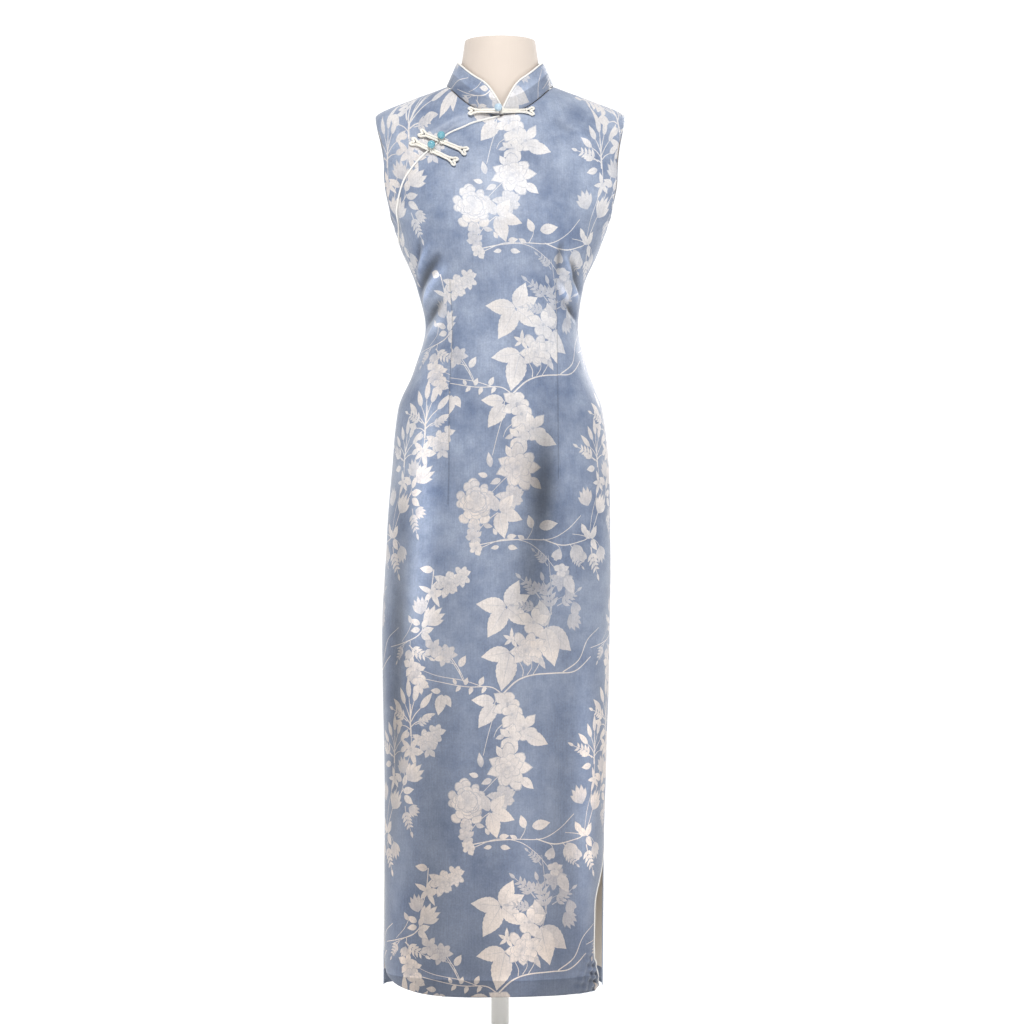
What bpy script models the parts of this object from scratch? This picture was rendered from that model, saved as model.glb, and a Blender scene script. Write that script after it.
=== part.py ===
"""A long sleeveless cheongsam with a mandarin collar and three knotted closures,
worn by a limbless dress form on a round stand.

Metres, +Z up. The wearer faces -Y, so the wearer's left is +X. The origin is on the
floor under the middle of the base. Every cloth panel is read from one table of rings
round the body, so that panels share their seams; the panels are open sheets made
into walls with Solidify, and trims follow the panels' own edges.
"""

import math
from collections import namedtuple

import bmesh
import bpy
from mathutils import Vector
from mathutils.bvhtree import BVHTree

# ---------------------------------------------------------------- driving dimensions
WALL = 0.0013  # body cloth, with its turned seams
COLLAR_WALL = 0.0020  # two layers and an interlining
GAP = 0.0003  # between pieces that are sewn or rest together
SEAM_TRIM = 0.0002  # each panel stops this far short of a seam line
SHOULDER_TRIM = 0.0009  # more, where the walls lean together over the shoulder
UNDERLAP_DIP = 0.0036  # the underlap's outside, below the flap's

HEM_LEVEL = 0.117
SLIT_TOP = 0.330
UNDERARM_LEVEL = 1.190
SHOULDER_LEVEL = 1.350
NECK_LEVEL = 1.394
UNDERLAP_BOTTOM = 1.150

ARMHOLE_FRONT_DEG = 30.0  # how far the armhole bites into the front and the back
ARMHOLE_BACK_DEG = 27.0
SLIT_OPEN_LEFT = 0.043  # how far each front edge stands back below the slit's top
SLIT_OPEN_RIGHT = 0.011
SLIT_CLOSES = 0.45  # the share of it that is lost again at the hem
HEM_CORNER_LEFT = (0.010, 0.010)  # width and height of the front's curved lower corners
HEM_CORNER_RIGHT = (0.120, 0.052)
CORNER_BLEND = 0.090  # the rows this far above the hem follow its corners

FRONT_CENTRE_DEG = 3.0  # the collar and the flap meet a little to the wearer's left
UNDERLAP_HIDDEN_DEG = 13.0  # how far the underlap runs on under the front
COLLAR_HEIGHT = 0.042
COLLAR_END_HEIGHT = 0.008
COLLAR_CURVE = 0.045  # length of the curve at each front end
COLLAR_CURVE_POWER = 2.6

PIPING_RADIUS = 0.0013
OPENING_PIPING_RADIUS = 0.0011
SLIT_PIPING_RADIUS = 0.0010
SLIT_PIPING_ROOM = 0.0034
PIPING_GAP = 0.0005
OPENING_PIPING_SHORT = 0.0045  # the opening's piping stops short of the collar
CORD_RADIUS = 0.0014
CORD_LIFT = 0.0017  # cord above the cloth, to pass over the piping
BEAD_RADIUS = 0.0054

POLE_RADIUS = 0.0125
FLANGE_RADIUS = 0.040
FLANGE_THICKNESS = 0.006
BASE_RADIUS = 0.200
BASE_THICKNESS = 0.008
TORSO_BOTTOM = 0.700

# Rings round the worn dress, from the hem up. level is the ring's height at the side
# seam, front_z and back_z its height in the middle of the front and back. front and
# back are depths from the side seam. fullness 2 is an ellipse, and more is boxier.
Ring = namedtuple("Ring", "level front_z back_z half_width front back fullness shift seam_y")
DRESS_RINGS = (
    # level, front_z, back_z, half_width, front, back, fullness, shift, seam_y
    Ring(0.117, 0.117, 0.117, 0.1550, 0.094, 0.100, 2.20, -0.0095, 0.000),  # hem
    Ring(0.330, 0.330, 0.330, 0.1555, 0.097, 0.104, 2.20, -0.0080, 0.000),  # slit top
    Ring(0.440, 0.440, 0.440, 0.1570, 0.099, 0.107, 2.20, -0.0065, 0.000),  # knee
    Ring(0.620, 0.620, 0.620, 0.1610, 0.104, 0.114, 2.20, -0.0055, 0.000),  # thigh
    Ring(0.750, 0.750, 0.750, 0.1585, 0.108, 0.121, 2.20, -0.0020, 0.000),  # low hip
    Ring(0.862, 0.862, 0.862, 0.1530, 0.109, 0.122, 2.15, 0.0005, 0.000),  # hip
    Ring(0.935, 0.935, 0.935, 0.1445, 0.103, 0.108, 2.10, 0.0005, 0.000),  # high hip
    Ring(0.990, 0.990, 0.990, 0.1230, 0.094, 0.091, 2.10, 0.0010, 0.000),  # belly
    Ring(1.050, 1.050, 1.050, 0.1080, 0.085, 0.080, 2.10, 0.0025, 0.000),  # waist
    Ring(1.110, 1.110, 1.110, 0.1190, 0.097, 0.088, 2.10, 0.0000, 0.000),  # ribs
    Ring(1.160, 1.158, 1.160, 0.1400, 0.116, 0.098, 2.20, 0.0000, 0.000),  # bust
    Ring(1.190, 1.186, 1.190, 0.1510, 0.118, 0.102, 2.25, 0.0010, 0.000),  # underarm
    Ring(1.213, 1.205, 1.212, 0.1670, 0.114, 0.104, 2.20, 0.0010, 0.000),  # low armhole
    Ring(1.270, 1.252, 1.264, 0.1880, 0.100, 0.106, 2.10, 0.0010, 0.000),  # mid armhole
    Ring(1.327, 1.291, 1.308, 0.1840, 0.084, 0.094, 2.00, 0.0005, 0.002),  # high armhole
    Ring(1.350, 1.306, 1.328, 0.1775, 0.077, 0.082, 2.00, 0.0000, 0.004),  # shoulder tip
    Ring(1.374, 1.321, 1.356, 0.1260, 0.071, 0.070, 2.00, 0.0000, 0.006),  # mid shoulder
    Ring(1.385, 1.333, 1.382, 0.0980, 0.068, 0.065, 2.00, 0.0000, 0.008),  # near neck
    Ring(1.394, 1.344, 1.400, 0.0760, 0.066, 0.062, 2.00, 0.0000, 0.010),  # neck seam
)
COLLAR_TOP = Ring(1.425, 1.386, 1.440, 0.0620, 0.058, 0.056, 2.00, 0.0000, 0.008)

# The dress form inside, clear of the cloth all round.
FORM_RINGS = (
    # level, front_z, back_z, half_width, front, back, fullness, shift, seam_y
    Ring(0.700, 0.700, 0.700, 0.1400, 0.088, 0.100, 2.20, -0.0030, 0.000),
    Ring(0.750, 0.750, 0.750, 0.1480, 0.098, 0.111, 2.20, -0.0020, 0.000),
    Ring(0.862, 0.862, 0.862, 0.1450, 0.101, 0.114, 2.15, 0.0005, 0.000),
    Ring(0.935, 0.935, 0.935, 0.1365, 0.095, 0.100, 2.10, 0.0005, 0.000),
    Ring(0.990, 0.990, 0.990, 0.1150, 0.086, 0.083, 2.10, 0.0010, 0.000),
    Ring(1.050, 1.050, 1.050, 0.1000, 0.077, 0.072, 2.10, 0.0025, 0.000),
    Ring(1.110, 1.110, 1.110, 0.1110, 0.088, 0.080, 2.10, 0.0000, 0.000),
    Ring(1.160, 1.158, 1.160, 0.1310, 0.106, 0.090, 2.15, 0.0000, 0.000),
    Ring(1.200, 1.195, 1.200, 0.1430, 0.104, 0.095, 2.15, 0.0000, 0.000),
    Ring(1.262, 1.248, 1.257, 0.1500, 0.088, 0.093, 2.15, 0.0000, 0.000),
    Ring(1.310, 1.283, 1.298, 0.1530, 0.074, 0.083, 2.10, 0.0000, 0.002),
    Ring(1.338, 1.297, 1.322, 0.1480, 0.066, 0.071, 2.00, 0.0000, 0.004),
    Ring(1.353, 1.306, 1.338, 0.1330, 0.063, 0.063, 2.00, 0.0000, 0.006),
    Ring(1.366, 1.318, 1.356, 0.1080, 0.060, 0.058, 2.00, 0.0000, 0.007),
    Ring(1.379, 1.333, 1.378, 0.0800, 0.057, 0.055, 2.00, 0.0000, 0.008),
    Ring(1.400, 1.365, 1.400, 0.0600, 0.052, 0.052, 2.00, 0.0000, 0.007),
    Ring(1.430, 1.415, 1.430, 0.0540, 0.050, 0.051, 2.00, 0.0000, 0.004),
    Ring(1.4575, 1.4575, 1.4575, 0.0500, 0.049, 0.050, 2.00, 0.0000, 0.002),
)

# The curved edge of the front's flap, from the neck seam down to the side seam.
# level, degrees round from the middle of the front (negative is the wearer's right)
OPENING_EDGE = (
    (1.165, -90.0),
    (1.176, -79.0),
    (1.190, -69.0),
    (1.212, -58.5),
    (1.243, -48.5),
    (1.307, -34.0),
    (1.343, -26.0),
    (1.376, -21.0),
    (1.387, -12.0),
    (1.394, FRONT_CENTRE_DEG),
)

# Soft folds of the worn dress: from one end to the other of each fold's line, at a
# distance round from the front's middle and a level. depth is in (-) or out (+).
Fold = namedtuple("Fold", "around_a level_a around_b level_b half_width depth")
FRONT_FOLDS = (
    Fold(-0.092, 1.146, -0.126, 1.098, 0.011, -0.0056),  # bust drag, right, upper
    Fold(-0.087, 1.124, -0.119, 1.070, 0.011, 0.0042),
    Fold(-0.090, 1.092, -0.114, 1.056, 0.010, -0.0044),  # bust drag, right, lower
    Fold(0.092, 1.158, 0.128, 1.118, 0.010, 0.0034),
    Fold(0.088, 1.138, 0.128, 1.094, 0.011, -0.0056),  # bust drag, left, upper
    Fold(0.086, 1.110, 0.110, 1.072, 0.010, 0.0038),
    Fold(0.086, 1.086, 0.112, 1.054, 0.010, -0.0044),  # bust drag, left, lower
    Fold(0.062, 0.900, 0.046, 0.640, 0.026, -0.0045),  # thigh, below the left dart
    Fold(-0.108, 0.930, -0.112, 0.560, 0.022, 0.0040),  # thigh, below the right dart
    Fold(-0.150, 0.740, -0.156, 0.360, 0.020, -0.0040),  # along the right side seam
    Fold(0.128, 0.560, 0.134, 0.200, 0.024, 0.0040),  # above the left slit
)
BACK_FOLDS = (
    Fold(0.080, 1.130, 0.132, 1.085, 0.014, -0.0045),
    Fold(-0.078, 1.120, -0.130, 1.078, 0.014, -0.0045),
    Fold(0.030, 1.040, -0.040, 1.028, 0.012, -0.0030),  # across the small of the back
    Fold(0.050, 0.800, 0.062, 0.420, 0.026, -0.0045),
    Fold(-0.070, 0.780, -0.058, 0.340, 0.024, 0.0040),
)


# ---------------------------------------------------------------- reading the tables
def slopes(levels, values):
    """Slopes at a table's rows that never overshoot it: zero at a turning point."""
    secants = [
        (values[i + 1] - values[i]) / (levels[i + 1] - levels[i])
        for i in range(len(levels) - 1)
    ]
    inner = [
        2 * a * b / (a + b) if a * b > 0 else 0.0 for a, b in zip(secants, secants[1:])
    ]
    return [secants[0], *inner, secants[-1]]


def smooth_read(levels, values, level):
    """A table's column at a level, on a smooth curve through its rows."""
    level = min(max(level, levels[0]), levels[-1])
    i = max(k for k in range(len(levels) - 1) if levels[k] <= level)
    step = levels[i + 1] - levels[i]
    t = (level - levels[i]) / step
    m = slopes(levels, values)
    return (
        (1 + 2 * t) * (1 - t) ** 2 * values[i]
        + t * (1 - t) ** 2 * step * m[i]
        + t * t * (3 - 2 * t) * values[i + 1]
        - t * t * (1 - t) * step * m[i + 1]
    )


def ring_at(rings, level):
    levels = [ring.level for ring in rings]
    return Ring(*(smooth_read(levels, column, level) for column in zip(*rings)))


def opening_deg(level):
    levels, angles = zip(*OPENING_EDGE)
    return smooth_read(levels, angles, level)


def ring_point(ring, degrees):
    """A point of a ring: 0 is the middle of the front, 90 the left side, 180 the back."""
    s, c = math.sin(math.radians(degrees)), math.cos(math.radians(degrees))
    power = 2 / ring.fullness
    depth, middle_z = (ring.front, ring.front_z) if c >= 0 else (ring.back, ring.back_z)
    return Vector((
        ring.shift + math.copysign(ring.half_width * abs(s) ** power, s),
        ring.seam_y - math.copysign(depth * abs(c) ** power, c),
        ring.level + (middle_z - ring.level) * c * c,
    ))


def arc_row(ring, start_deg, end_deg, columns, trim_start=0.0, trim_end=0.0):
    """columns + 1 evenly spaced points of a ring, between two angles."""
    samples = 96
    dense = [
        ring_point(ring, start_deg + (end_deg - start_deg) * i / samples)
        for i in range(samples + 1)
    ]
    run = [0.0]
    for a, b in zip(dense, dense[1:]):
        run.append(run[-1] + (b - a).length)
    first, last = trim_start, run[-1] - trim_end
    row, k = [], 0
    for column in range(columns + 1):
        at = first + (last - first) * column / columns
        while k < samples - 1 and run[k + 1] < at:
            k += 1
        row.append(dense[k].lerp(dense[k + 1], (at - run[k]) / (run[k + 1] - run[k])))
    return row


def span(start, end, count):
    """count levels from start up to, and not including, end."""
    return [start + (end - start) * i / count for i in range(count)]


def armhole_turn(level):
    """0 at the armhole's ends and 1 at its widest."""
    middle = (UNDERARM_LEVEL + SHOULDER_LEVEL) / 2
    half = (SHOULDER_LEVEL - UNDERARM_LEVEL) / 2
    return math.sqrt(max(0.0, 1 - ((level - middle) / half) ** 2))


def armhole_levels(count):
    """Levels that space an oval armhole's points evenly round it."""
    middle = (UNDERARM_LEVEL + SHOULDER_LEVEL) / 2
    half = (SHOULDER_LEVEL - UNDERARM_LEVEL) / 2
    return [middle - half * math.cos(math.pi * i / count) for i in range(count)]


PANEL_LEVELS = (
    span(HEM_LEVEL, SLIT_TOP, 8)
    + span(SLIT_TOP, 0.840, 9)
    + span(0.840, 1.040, 7)
    + span(1.040, UNDERARM_LEVEL, 9)
    + armhole_levels(9)
    + span(SHOULDER_LEVEL, NECK_LEVEL, 4)
    + [NECK_LEVEL]
)


# ---------------------------------------------------------------- cloth
def fold_offset(folds, around, level):
    """How far the folds push the cloth out here."""
    offset = 0.0
    for fold in folds:
        ax, az = fold.around_a, fold.level_a
        bx, bz = fold.around_b - ax, fold.level_b - az
        t = ((around - ax) * bx + (level - az) * bz) / (bx * bx + bz * bz)
        across = math.hypot(around - ax - t * bx, level - az - t * bz)
        if -0.25 < t < 1.25:
            ends = math.sin(math.pi * (t + 0.25) / 1.5)
            offset += fold.depth * ends * math.exp(-((across / fold.half_width) ** 2))
    return offset


def grid_normals(grid):
    """The outward normal at each point of a grid of rows running towards +X at -Y."""
    rows, columns = len(grid), len(grid[0])
    normals = []
    for j in range(rows):
        below, above = grid[max(j - 1, 0)], grid[min(j + 1, rows - 1)]
        row = []
        for i in range(columns):
            along = grid[j][min(i + 1, columns - 1)] - grid[j][max(i - 1, 0)]
            row.append(along.cross(above[i] - below[i]).normalized())
        normals.append(row)
    return normals


def pushed(grid, amount):
    """A grid moved along its normals by amount(row, column)."""
    normals = grid_normals(grid)
    return [
        [point + normals[j][i] * amount(j, i) for i, point in enumerate(row)]
        for j, row in enumerate(grid)
    ]


def seam_trim(level):
    return SHOULDER_TRIM if level >= SHOULDER_LEVEL else SEAM_TRIM


def side_limits(level, biting_deg):
    """Where a front or back half stops at this level: at a seam or at the armhole."""
    if UNDERARM_LEVEL < level < SHOULDER_LEVEL:
        return 90.0 - biting_deg * armhole_turn(level)
    return 90.0


def eased(t):
    t = min(1.0, max(0.0, t))
    return t * t * (3 - 2 * t)


def slit_share(level):
    """0 above the slits, 1 along most of them and less again at the hem."""
    below = (SLIT_TOP - level) / (SLIT_TOP - HEM_LEVEL)
    return eased(below / 0.45) - SLIT_CLOSES * eased((below - 0.72) / 0.28)


def with_corners(grid, levels, corner_start, corner_end):
    """A panel whose lower corners curve up, each over its width and to its height."""
    for row, level in zip(grid, levels):
        fade = max(0.0, 1 - (level - HEM_LEVEL) / CORNER_BLEND)
        start, end = row[0].copy(), row[-1].copy()
        for point in row:
            for corner, (width, height) in ((start, corner_start), (end, corner_end)):
                away = math.hypot(point.x - corner.x, point.y - corner.y)
                near = max(0.0, 1 - away / width)
                point.z += fade * height * (1 - math.sqrt(1 - near * near))
    return grid


def with_folds(grid, levels, middle_deg, folds):
    """A panel with its folds, which are measured round from the ring's middle_deg."""
    middles = [ring_point(ring_at(DRESS_RINGS, level), middle_deg) for level in levels]

    def amount(j, i):
        row, middle = grid[j], middles[j]
        nearest = min(range(len(row)), key=lambda k: (row[k] - middle).length)
        low, high = min(i, nearest), max(i, nearest)
        run = sum((b - a).length for a, b in zip(row[low:high], row[low + 1 : high + 1]))
        forwards = 1 if i > nearest else -1
        run = forwards * run + (row[nearest].x - middle.x) * math.cos(math.radians(middle_deg))
        edge = min((row[i] - row[0]).length, (row[i] - row[-1]).length)
        return fold_offset(folds, run, levels[j]) * min(1.0, edge / 0.012)

    return pushed(grid, amount)


def front_grid(columns=22):
    rows = []
    for level in PANEL_LEVELS:
        ring = ring_at(DRESS_RINGS, level)
        on_right = opening_deg(level) if level > OPENING_EDGE[0][0] else -90.0
        on_left = side_limits(level, ARMHOLE_FRONT_DEG)
        open_share = slit_share(level)
        trim = seam_trim(level) + (SLIT_PIPING_ROOM if level < SLIT_TOP else 0.0)
        rows.append(arc_row(
            ring, on_right, on_left, columns,
            trim + SLIT_OPEN_RIGHT * open_share, trim + SLIT_OPEN_LEFT * open_share,
        ))
    rows = with_corners(rows, PANEL_LEVELS, HEM_CORNER_RIGHT, HEM_CORNER_LEFT)
    return with_folds(rows, PANEL_LEVELS, 0, FRONT_FOLDS)


def back_grid(columns=18):
    """The back, from the wearer's left side seam round to the right one."""
    rows = []
    for level in PANEL_LEVELS:
        ring = ring_at(DRESS_RINGS, level)
        reach = side_limits(level, ARMHOLE_BACK_DEG)
        trim = seam_trim(level)
        rows.append(arc_row(ring, 180 - reach, 180 + reach, columns, trim, trim))
    return with_folds(rows, PANEL_LEVELS, 180, BACK_FOLDS)


def underlap_grid(columns=9):
    """The small right front, which dips under the flap by a wall and a gap."""
    levels = span(UNDERLAP_BOTTOM, UNDERARM_LEVEL, 3) + armhole_levels(9)
    levels += span(SHOULDER_LEVEL, NECK_LEVEL, 4) + [NECK_LEVEL]
    rows, dips = [], []
    clear = 0.024
    for level in levels:
        ring = ring_at(DRESS_RINGS, level)
        side = -side_limits(level, ARMHOLE_FRONT_DEG)
        flap = opening_deg(level)
        row = arc_row(ring, side, flap + UNDERLAP_HIDDEN_DEG, columns, seam_trim(level))
        edge = ring_point(ring, flap)
        rows.append(row)
        dips.append([
            UNDERLAP_DIP * (
                1.0 if (point - edge).length < 0.006 or point.x > edge.x
                else max(0.0, 1 - ((point - edge).length - 0.006) / clear)
            )
            for point in row
        ])
    return pushed(rows, lambda j, i: -dips[j][i])


def collar_grid(columns=44, rows=4):
    """The stand collar: up from the neck seam, round from one front end to the other."""
    base_ring = ring_at(DRESS_RINGS, NECK_LEVEL)
    half_gap_deg = 0.9
    start, end = FRONT_CENTRE_DEG + half_gap_deg, FRONT_CENTRE_DEG + 360 - half_gap_deg
    seam = arc_row(base_ring, start, end, columns)
    top = arc_row(COLLAR_TOP, start, end, columns)
    length = sum((b - a).length for a, b in zip(seam, seam[1:]))
    grid = []
    for j in range(rows + 1):
        row = []
        for i, (low, high) in enumerate(zip(seam, top)):
            from_end = length * min(i, columns - i) / columns
            bend = max(0.0, 1 - from_end / COLLAR_CURVE) ** COLLAR_CURVE_POWER
            height = COLLAR_END_HEIGHT + (COLLAR_HEIGHT - COLLAR_END_HEIGHT) * (1 - bend)
            share = (j / rows) * height / COLLAR_HEIGHT
            row.append(low.lerp(high, share) + Vector((0, 0, WALL + GAP)))
        grid.append(row)
    return grid


def edge_path(edge, inside, normals, sideways, outwards):
    """A line beside a panel's edge, square to it, and out from the cloth."""
    path = []
    for i, (point, inner, normal) in enumerate(zip(edge, inside, normals)):
        along = edge[min(i + 1, len(edge) - 1)] - edge[max(i - 1, 0)]
        away = along.cross(normal).normalized()
        if away.dot(point - inner) < 0:
            away = -away
        path.append(point + away * sideways + normal * outwards)
    return path


# ---------------------------------------------------------------- Blender objects
def clear_scene():
    for obj in list(bpy.data.objects):
        bpy.data.objects.remove(obj, do_unlink=True)


def material(name, colour, roughness, metallic=0.0):
    made = bpy.data.materials.new(name)
    made.use_nodes = True
    shader = made.node_tree.nodes["Principled BSDF"]
    shader.inputs["Base Color"].default_value = (*colour, 1.0)
    shader.inputs["Roughness"].default_value = roughness
    shader.inputs["Metallic"].default_value = metallic
    return made


def add_object(name, data, finish, parent):
    obj = bpy.data.objects.new(name, data)
    bpy.data.collections["cheongsam_dress"].objects.link(obj)
    data.materials.append(finish)
    obj.parent = parent
    return obj


def sheet_object(name, grid, wall, finish, parent):
    """A grid of points as an open sheet, thickened inwards into a wall."""
    mesh = bpy.data.meshes.new(name)
    bm = bmesh.new()
    verts = [[bm.verts.new(point) for point in row] for row in grid]
    for low, high in zip(verts, verts[1:]):
        for i in range(len(low) - 1):
            bm.faces.new((low[i], low[i + 1], high[i + 1], high[i]))
    bm.to_mesh(mesh)
    bm.free()
    mesh.shade_smooth()
    obj = add_object(name, mesh, finish, parent)
    solidify = obj.modifiers.new("wall", "SOLIDIFY")
    solidify.thickness = wall
    solidify.offset = -1
    solidify.use_even_offset = True
    return obj


def tube_object(name, path, radius, finish, parent, resolution=1):
    """A piping or a cord: a poly curve with a round bevel and filled caps."""
    curve = bpy.data.curves.new(name, "CURVE")
    curve.dimensions = "3D"
    curve.bevel_depth = radius
    curve.bevel_resolution = resolution
    curve.use_fill_caps = True
    spline = curve.splines.new("POLY")
    spline.points.add(len(path) - 1)
    for spline_point, point in zip(spline.points, path):
        spline_point.co = (*point, 1.0)
    spline.use_smooth = True
    return add_object(name, curve, finish, parent)


def lofted_object(name, rings, levels, sides, finish, parent):
    """A closed solid through rings, capped flat at both ends."""
    mesh = bpy.data.meshes.new(name)
    bm = bmesh.new()
    loops = []
    for level in levels:
        row = arc_row(ring_at(rings, level), 0, 360, sides)
        loops.append([bm.verts.new(point) for point in row[:-1]])
    for low, high in zip(loops, loops[1:]):
        for i in range(sides):
            k = (i + 1) % sides
            bm.faces.new((low[i], low[k], high[k], high[i]))
    bm.faces.new(loops[0][::-1])
    bm.faces.new(loops[-1])
    bm.to_mesh(mesh)
    bm.free()
    mesh.shade_smooth()
    return add_object(name, mesh, finish, parent)


def disc_object(name, radius, depth, bottom, finish, parent, bevel=0.0, sides=64):
    bpy.ops.mesh.primitive_cylinder_add(
        vertices=sides, radius=radius, depth=depth, location=(0, 0, bottom + depth / 2)
    )
    obj = bpy.context.object
    obj.name = obj.data.name = name
    for owner in list(obj.users_collection):
        owner.objects.unlink(obj)
    bpy.data.collections["cheongsam_dress"].objects.link(obj)
    obj.data.materials.append(finish)
    obj.data.shade_smooth()
    obj.data.set_sharp_from_angle(angle=math.radians(40))
    if bevel:
        rounded = obj.modifiers.new("edge", "BEVEL")
        rounded.width = bevel
        rounded.segments = 2
    obj.parent = parent
    return obj


# ---------------------------------------------------------------- closures
def resampled(path, step):
    """Points about step apart along a path."""
    run = [0.0]
    for a, b in zip(path, path[1:]):
        run.append(run[-1] + (b - a).length)
    count = max(2, round(run[-1] / step))
    points, k = [], 0
    for n in range(count + 1):
        at = run[-1] * n / count
        while k < len(path) - 2 and run[k + 1] < at:
            k += 1
        points.append(path[k].lerp(path[k + 1], (at - run[k]) / (run[k + 1] - run[k])))
    return points


def rounded_path(corners, steps=5):
    """A smooth (Catmull-Rom) curve through corners."""
    padded = [corners[0] * 2 - corners[1], *corners, corners[-1] * 2 - corners[-2]]
    path = []
    for a, b, c, d in zip(padded, padded[1:], padded[2:], padded[3:]):
        for n in range(steps):
            t = n / steps
            path.append(0.5 * (
                2 * b + (c - a) * t + (2 * a - 5 * b + 4 * c - d) * t * t
                + (3 * b - a - 3 * c + d) * t ** 3
            ))
    return [*path, corners[-1]]


def fishtail(length):
    """One side of a closure: a doubled cord whose far end flares into two lobes.
    x runs out along the bar from the closure's middle, y across it."""
    side, lobe = CORD_RADIUS + GAP, 0.0050
    half = [
        (0.004, side),
        (length * 0.40, side),
        (length * 0.70, side + 0.0004),
        (length - 0.0060, 0.0034),
        (length - 0.0020, lobe),
        (length + 0.0012, 0.0042),
        (length - 0.0004, 0.0022),
        (length - 0.0034, 0.0000),
    ]
    mirrored = [(x, -y) for x, y in reversed(half[:-1])]
    return rounded_path([Vector((x, y, 0)) for x, y in half + mirrored])


# Each closure's middle on the cloth seen from the front, its slope, how far each side
# reaches, and the bead's place along and across it.
Closure = namedtuple("Closure", "name x z slope_deg to_right to_left bead_along bead_across")
CLOSURES = (
    Closure("neck", 0.0000, 1.3500, 0.0, 0.042, 0.046, -0.0020, 0.0035),
    Closure("upper", -0.0830, 1.3060, -24.5, 0.030, 0.040, 0.0000, 0.0062),
    Closure("lower", -0.0960, 1.2930, -28.0, 0.029, 0.040, 0.0000, 0.0062),
)


def outer_surface():
    """The worn dress's smooth outside above the waist, with the collar, to lay trims on."""
    verts, faces = [], []
    sides = 90
    rings = [ring_at(DRESS_RINGS, level) for level in PANEL_LEVELS if level > 1.1]
    for ring in [*rings, COLLAR_TOP]:
        verts += [ring_point(ring, 360 * i / sides) for i in range(sides)]
    for j in range(len(rings)):
        for i in range(sides):
            k = (i + 1) % sides
            low, high = j * sides, (j + 1) * sides
            faces.append((low + i, low + k, high + k, high + i))
    return BVHTree.FromPolygons(verts, faces)


def laid(surface, closure, points, lift):
    """Flat points of a closure, turned to its slope and laid on the cloth's front."""
    turn = math.radians(closure.slope_deg)
    path = []
    for point in points:
        x = closure.x + point.x * math.cos(turn) - point.y * math.sin(turn)
        z = closure.z + point.x * math.sin(turn) + point.y * math.cos(turn)
        hit, normal, _, _ = surface.ray_cast(Vector((x, -1, z)), Vector((0, 1, 0)))
        path.append(hit + Vector((normal.x, normal.y, normal.z * 0.3)).normalized() * lift)
    return path


def build_closures(surface, cord, bead, parent):
    for closure in CLOSURES:
        for side, reach, mirror in (
            ("loop", closure.to_right, -1), ("knot", closure.to_left, 1),
        ):
            flat = [Vector((p.x * mirror, p.y, 0)) for p in fishtail(reach)]
            path = laid(surface, closure, resampled(flat, 0.0026), CORD_RADIUS + CORD_LIFT)
            tube_object(f"closure_{closure.name}_{side}", path, CORD_RADIUS, cord, parent)
        along = Vector((closure.bead_along, closure.bead_across, 0))
        lift = 2 * CORD_RADIUS + CORD_LIFT + GAP + BEAD_RADIUS
        place = laid(surface, closure, [along, along], lift)[0]
        bpy.ops.mesh.primitive_uv_sphere_add(
            segments=16, ring_count=10, radius=BEAD_RADIUS, location=place
        )
        obj = bpy.context.object
        obj.name = obj.data.name = f"closure_{closure.name}_bead"
        for owner in list(obj.users_collection):
            owner.objects.unlink(obj)
        bpy.data.collections["cheongsam_dress"].objects.link(obj)
        obj.data.materials.append(bead)
        obj.data.shade_smooth()
        obj.parent = parent


# ---------------------------------------------------------------- assembly
def build_dress(parent):
    printed = material("printed_silk", (0.29, 0.40, 0.58), 0.5)
    piping = material("cream_piping", (0.90, 0.88, 0.84), 0.5)
    cord = material("cream_cord", (0.92, 0.89, 0.82), 0.55)
    bead = material("turquoise_bead", (0.35, 0.62, 0.68), 0.2)

    front, back = front_grid(), back_grid()
    underlap, collar = underlap_grid(), collar_grid()
    sheet_object("dress_front", front, WALL, printed, parent)
    sheet_object("dress_front_underlap", underlap, WALL, printed, parent)
    sheet_object("dress_back", back, WALL, printed, parent)
    sheet_object("collar", collar, COLLAR_WALL, printed, parent)

    top, below = collar[-1], collar[-2]
    beside = PIPING_RADIUS + PIPING_GAP
    path = edge_path(top, below, grid_normals(collar)[-1], beside, -COLLAR_WALL / 2)
    tube_object("collar_piping", resampled(path, 0.006), PIPING_RADIUS, piping, parent)

    normals = grid_normals(front)
    flap = [j for j, level in enumerate(PANEL_LEVELS) if level > OPENING_EDGE[0][0]]
    beside = OPENING_PIPING_RADIUS + PIPING_GAP
    path = edge_path(
        [front[j][0] for j in flap], [front[j][1] for j in flap],
        [normals[j][0] for j in flap], beside, OPENING_PIPING_RADIUS - WALL + GAP,
    )
    path[-1] = path[-1] + (path[-2] - path[-1]).normalized() * OPENING_PIPING_SHORT
    tube_object(
        "opening_piping", resampled(rounded_path(path), 0.007),
        OPENING_PIPING_RADIUS, piping, parent,
    )

    slit = [j for j, level in enumerate(PANEL_LEVELS) if level < SLIT_TOP - 0.01]
    beside = SLIT_PIPING_RADIUS + PIPING_GAP
    for side, edge, inner in (("right", 0, 1), ("left", -1, -2)):
        path = edge_path(
            [front[j][edge] for j in slit], [front[j][inner] for j in slit],
            [normals[j][edge] for j in slit], beside, -WALL / 2,
        )
        tube_object(
            f"slit_piping_{side}", resampled(path, 0.018), SLIT_PIPING_RADIUS, piping, parent
        )
    build_closures(outer_surface(), cord, bead, parent)


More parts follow.
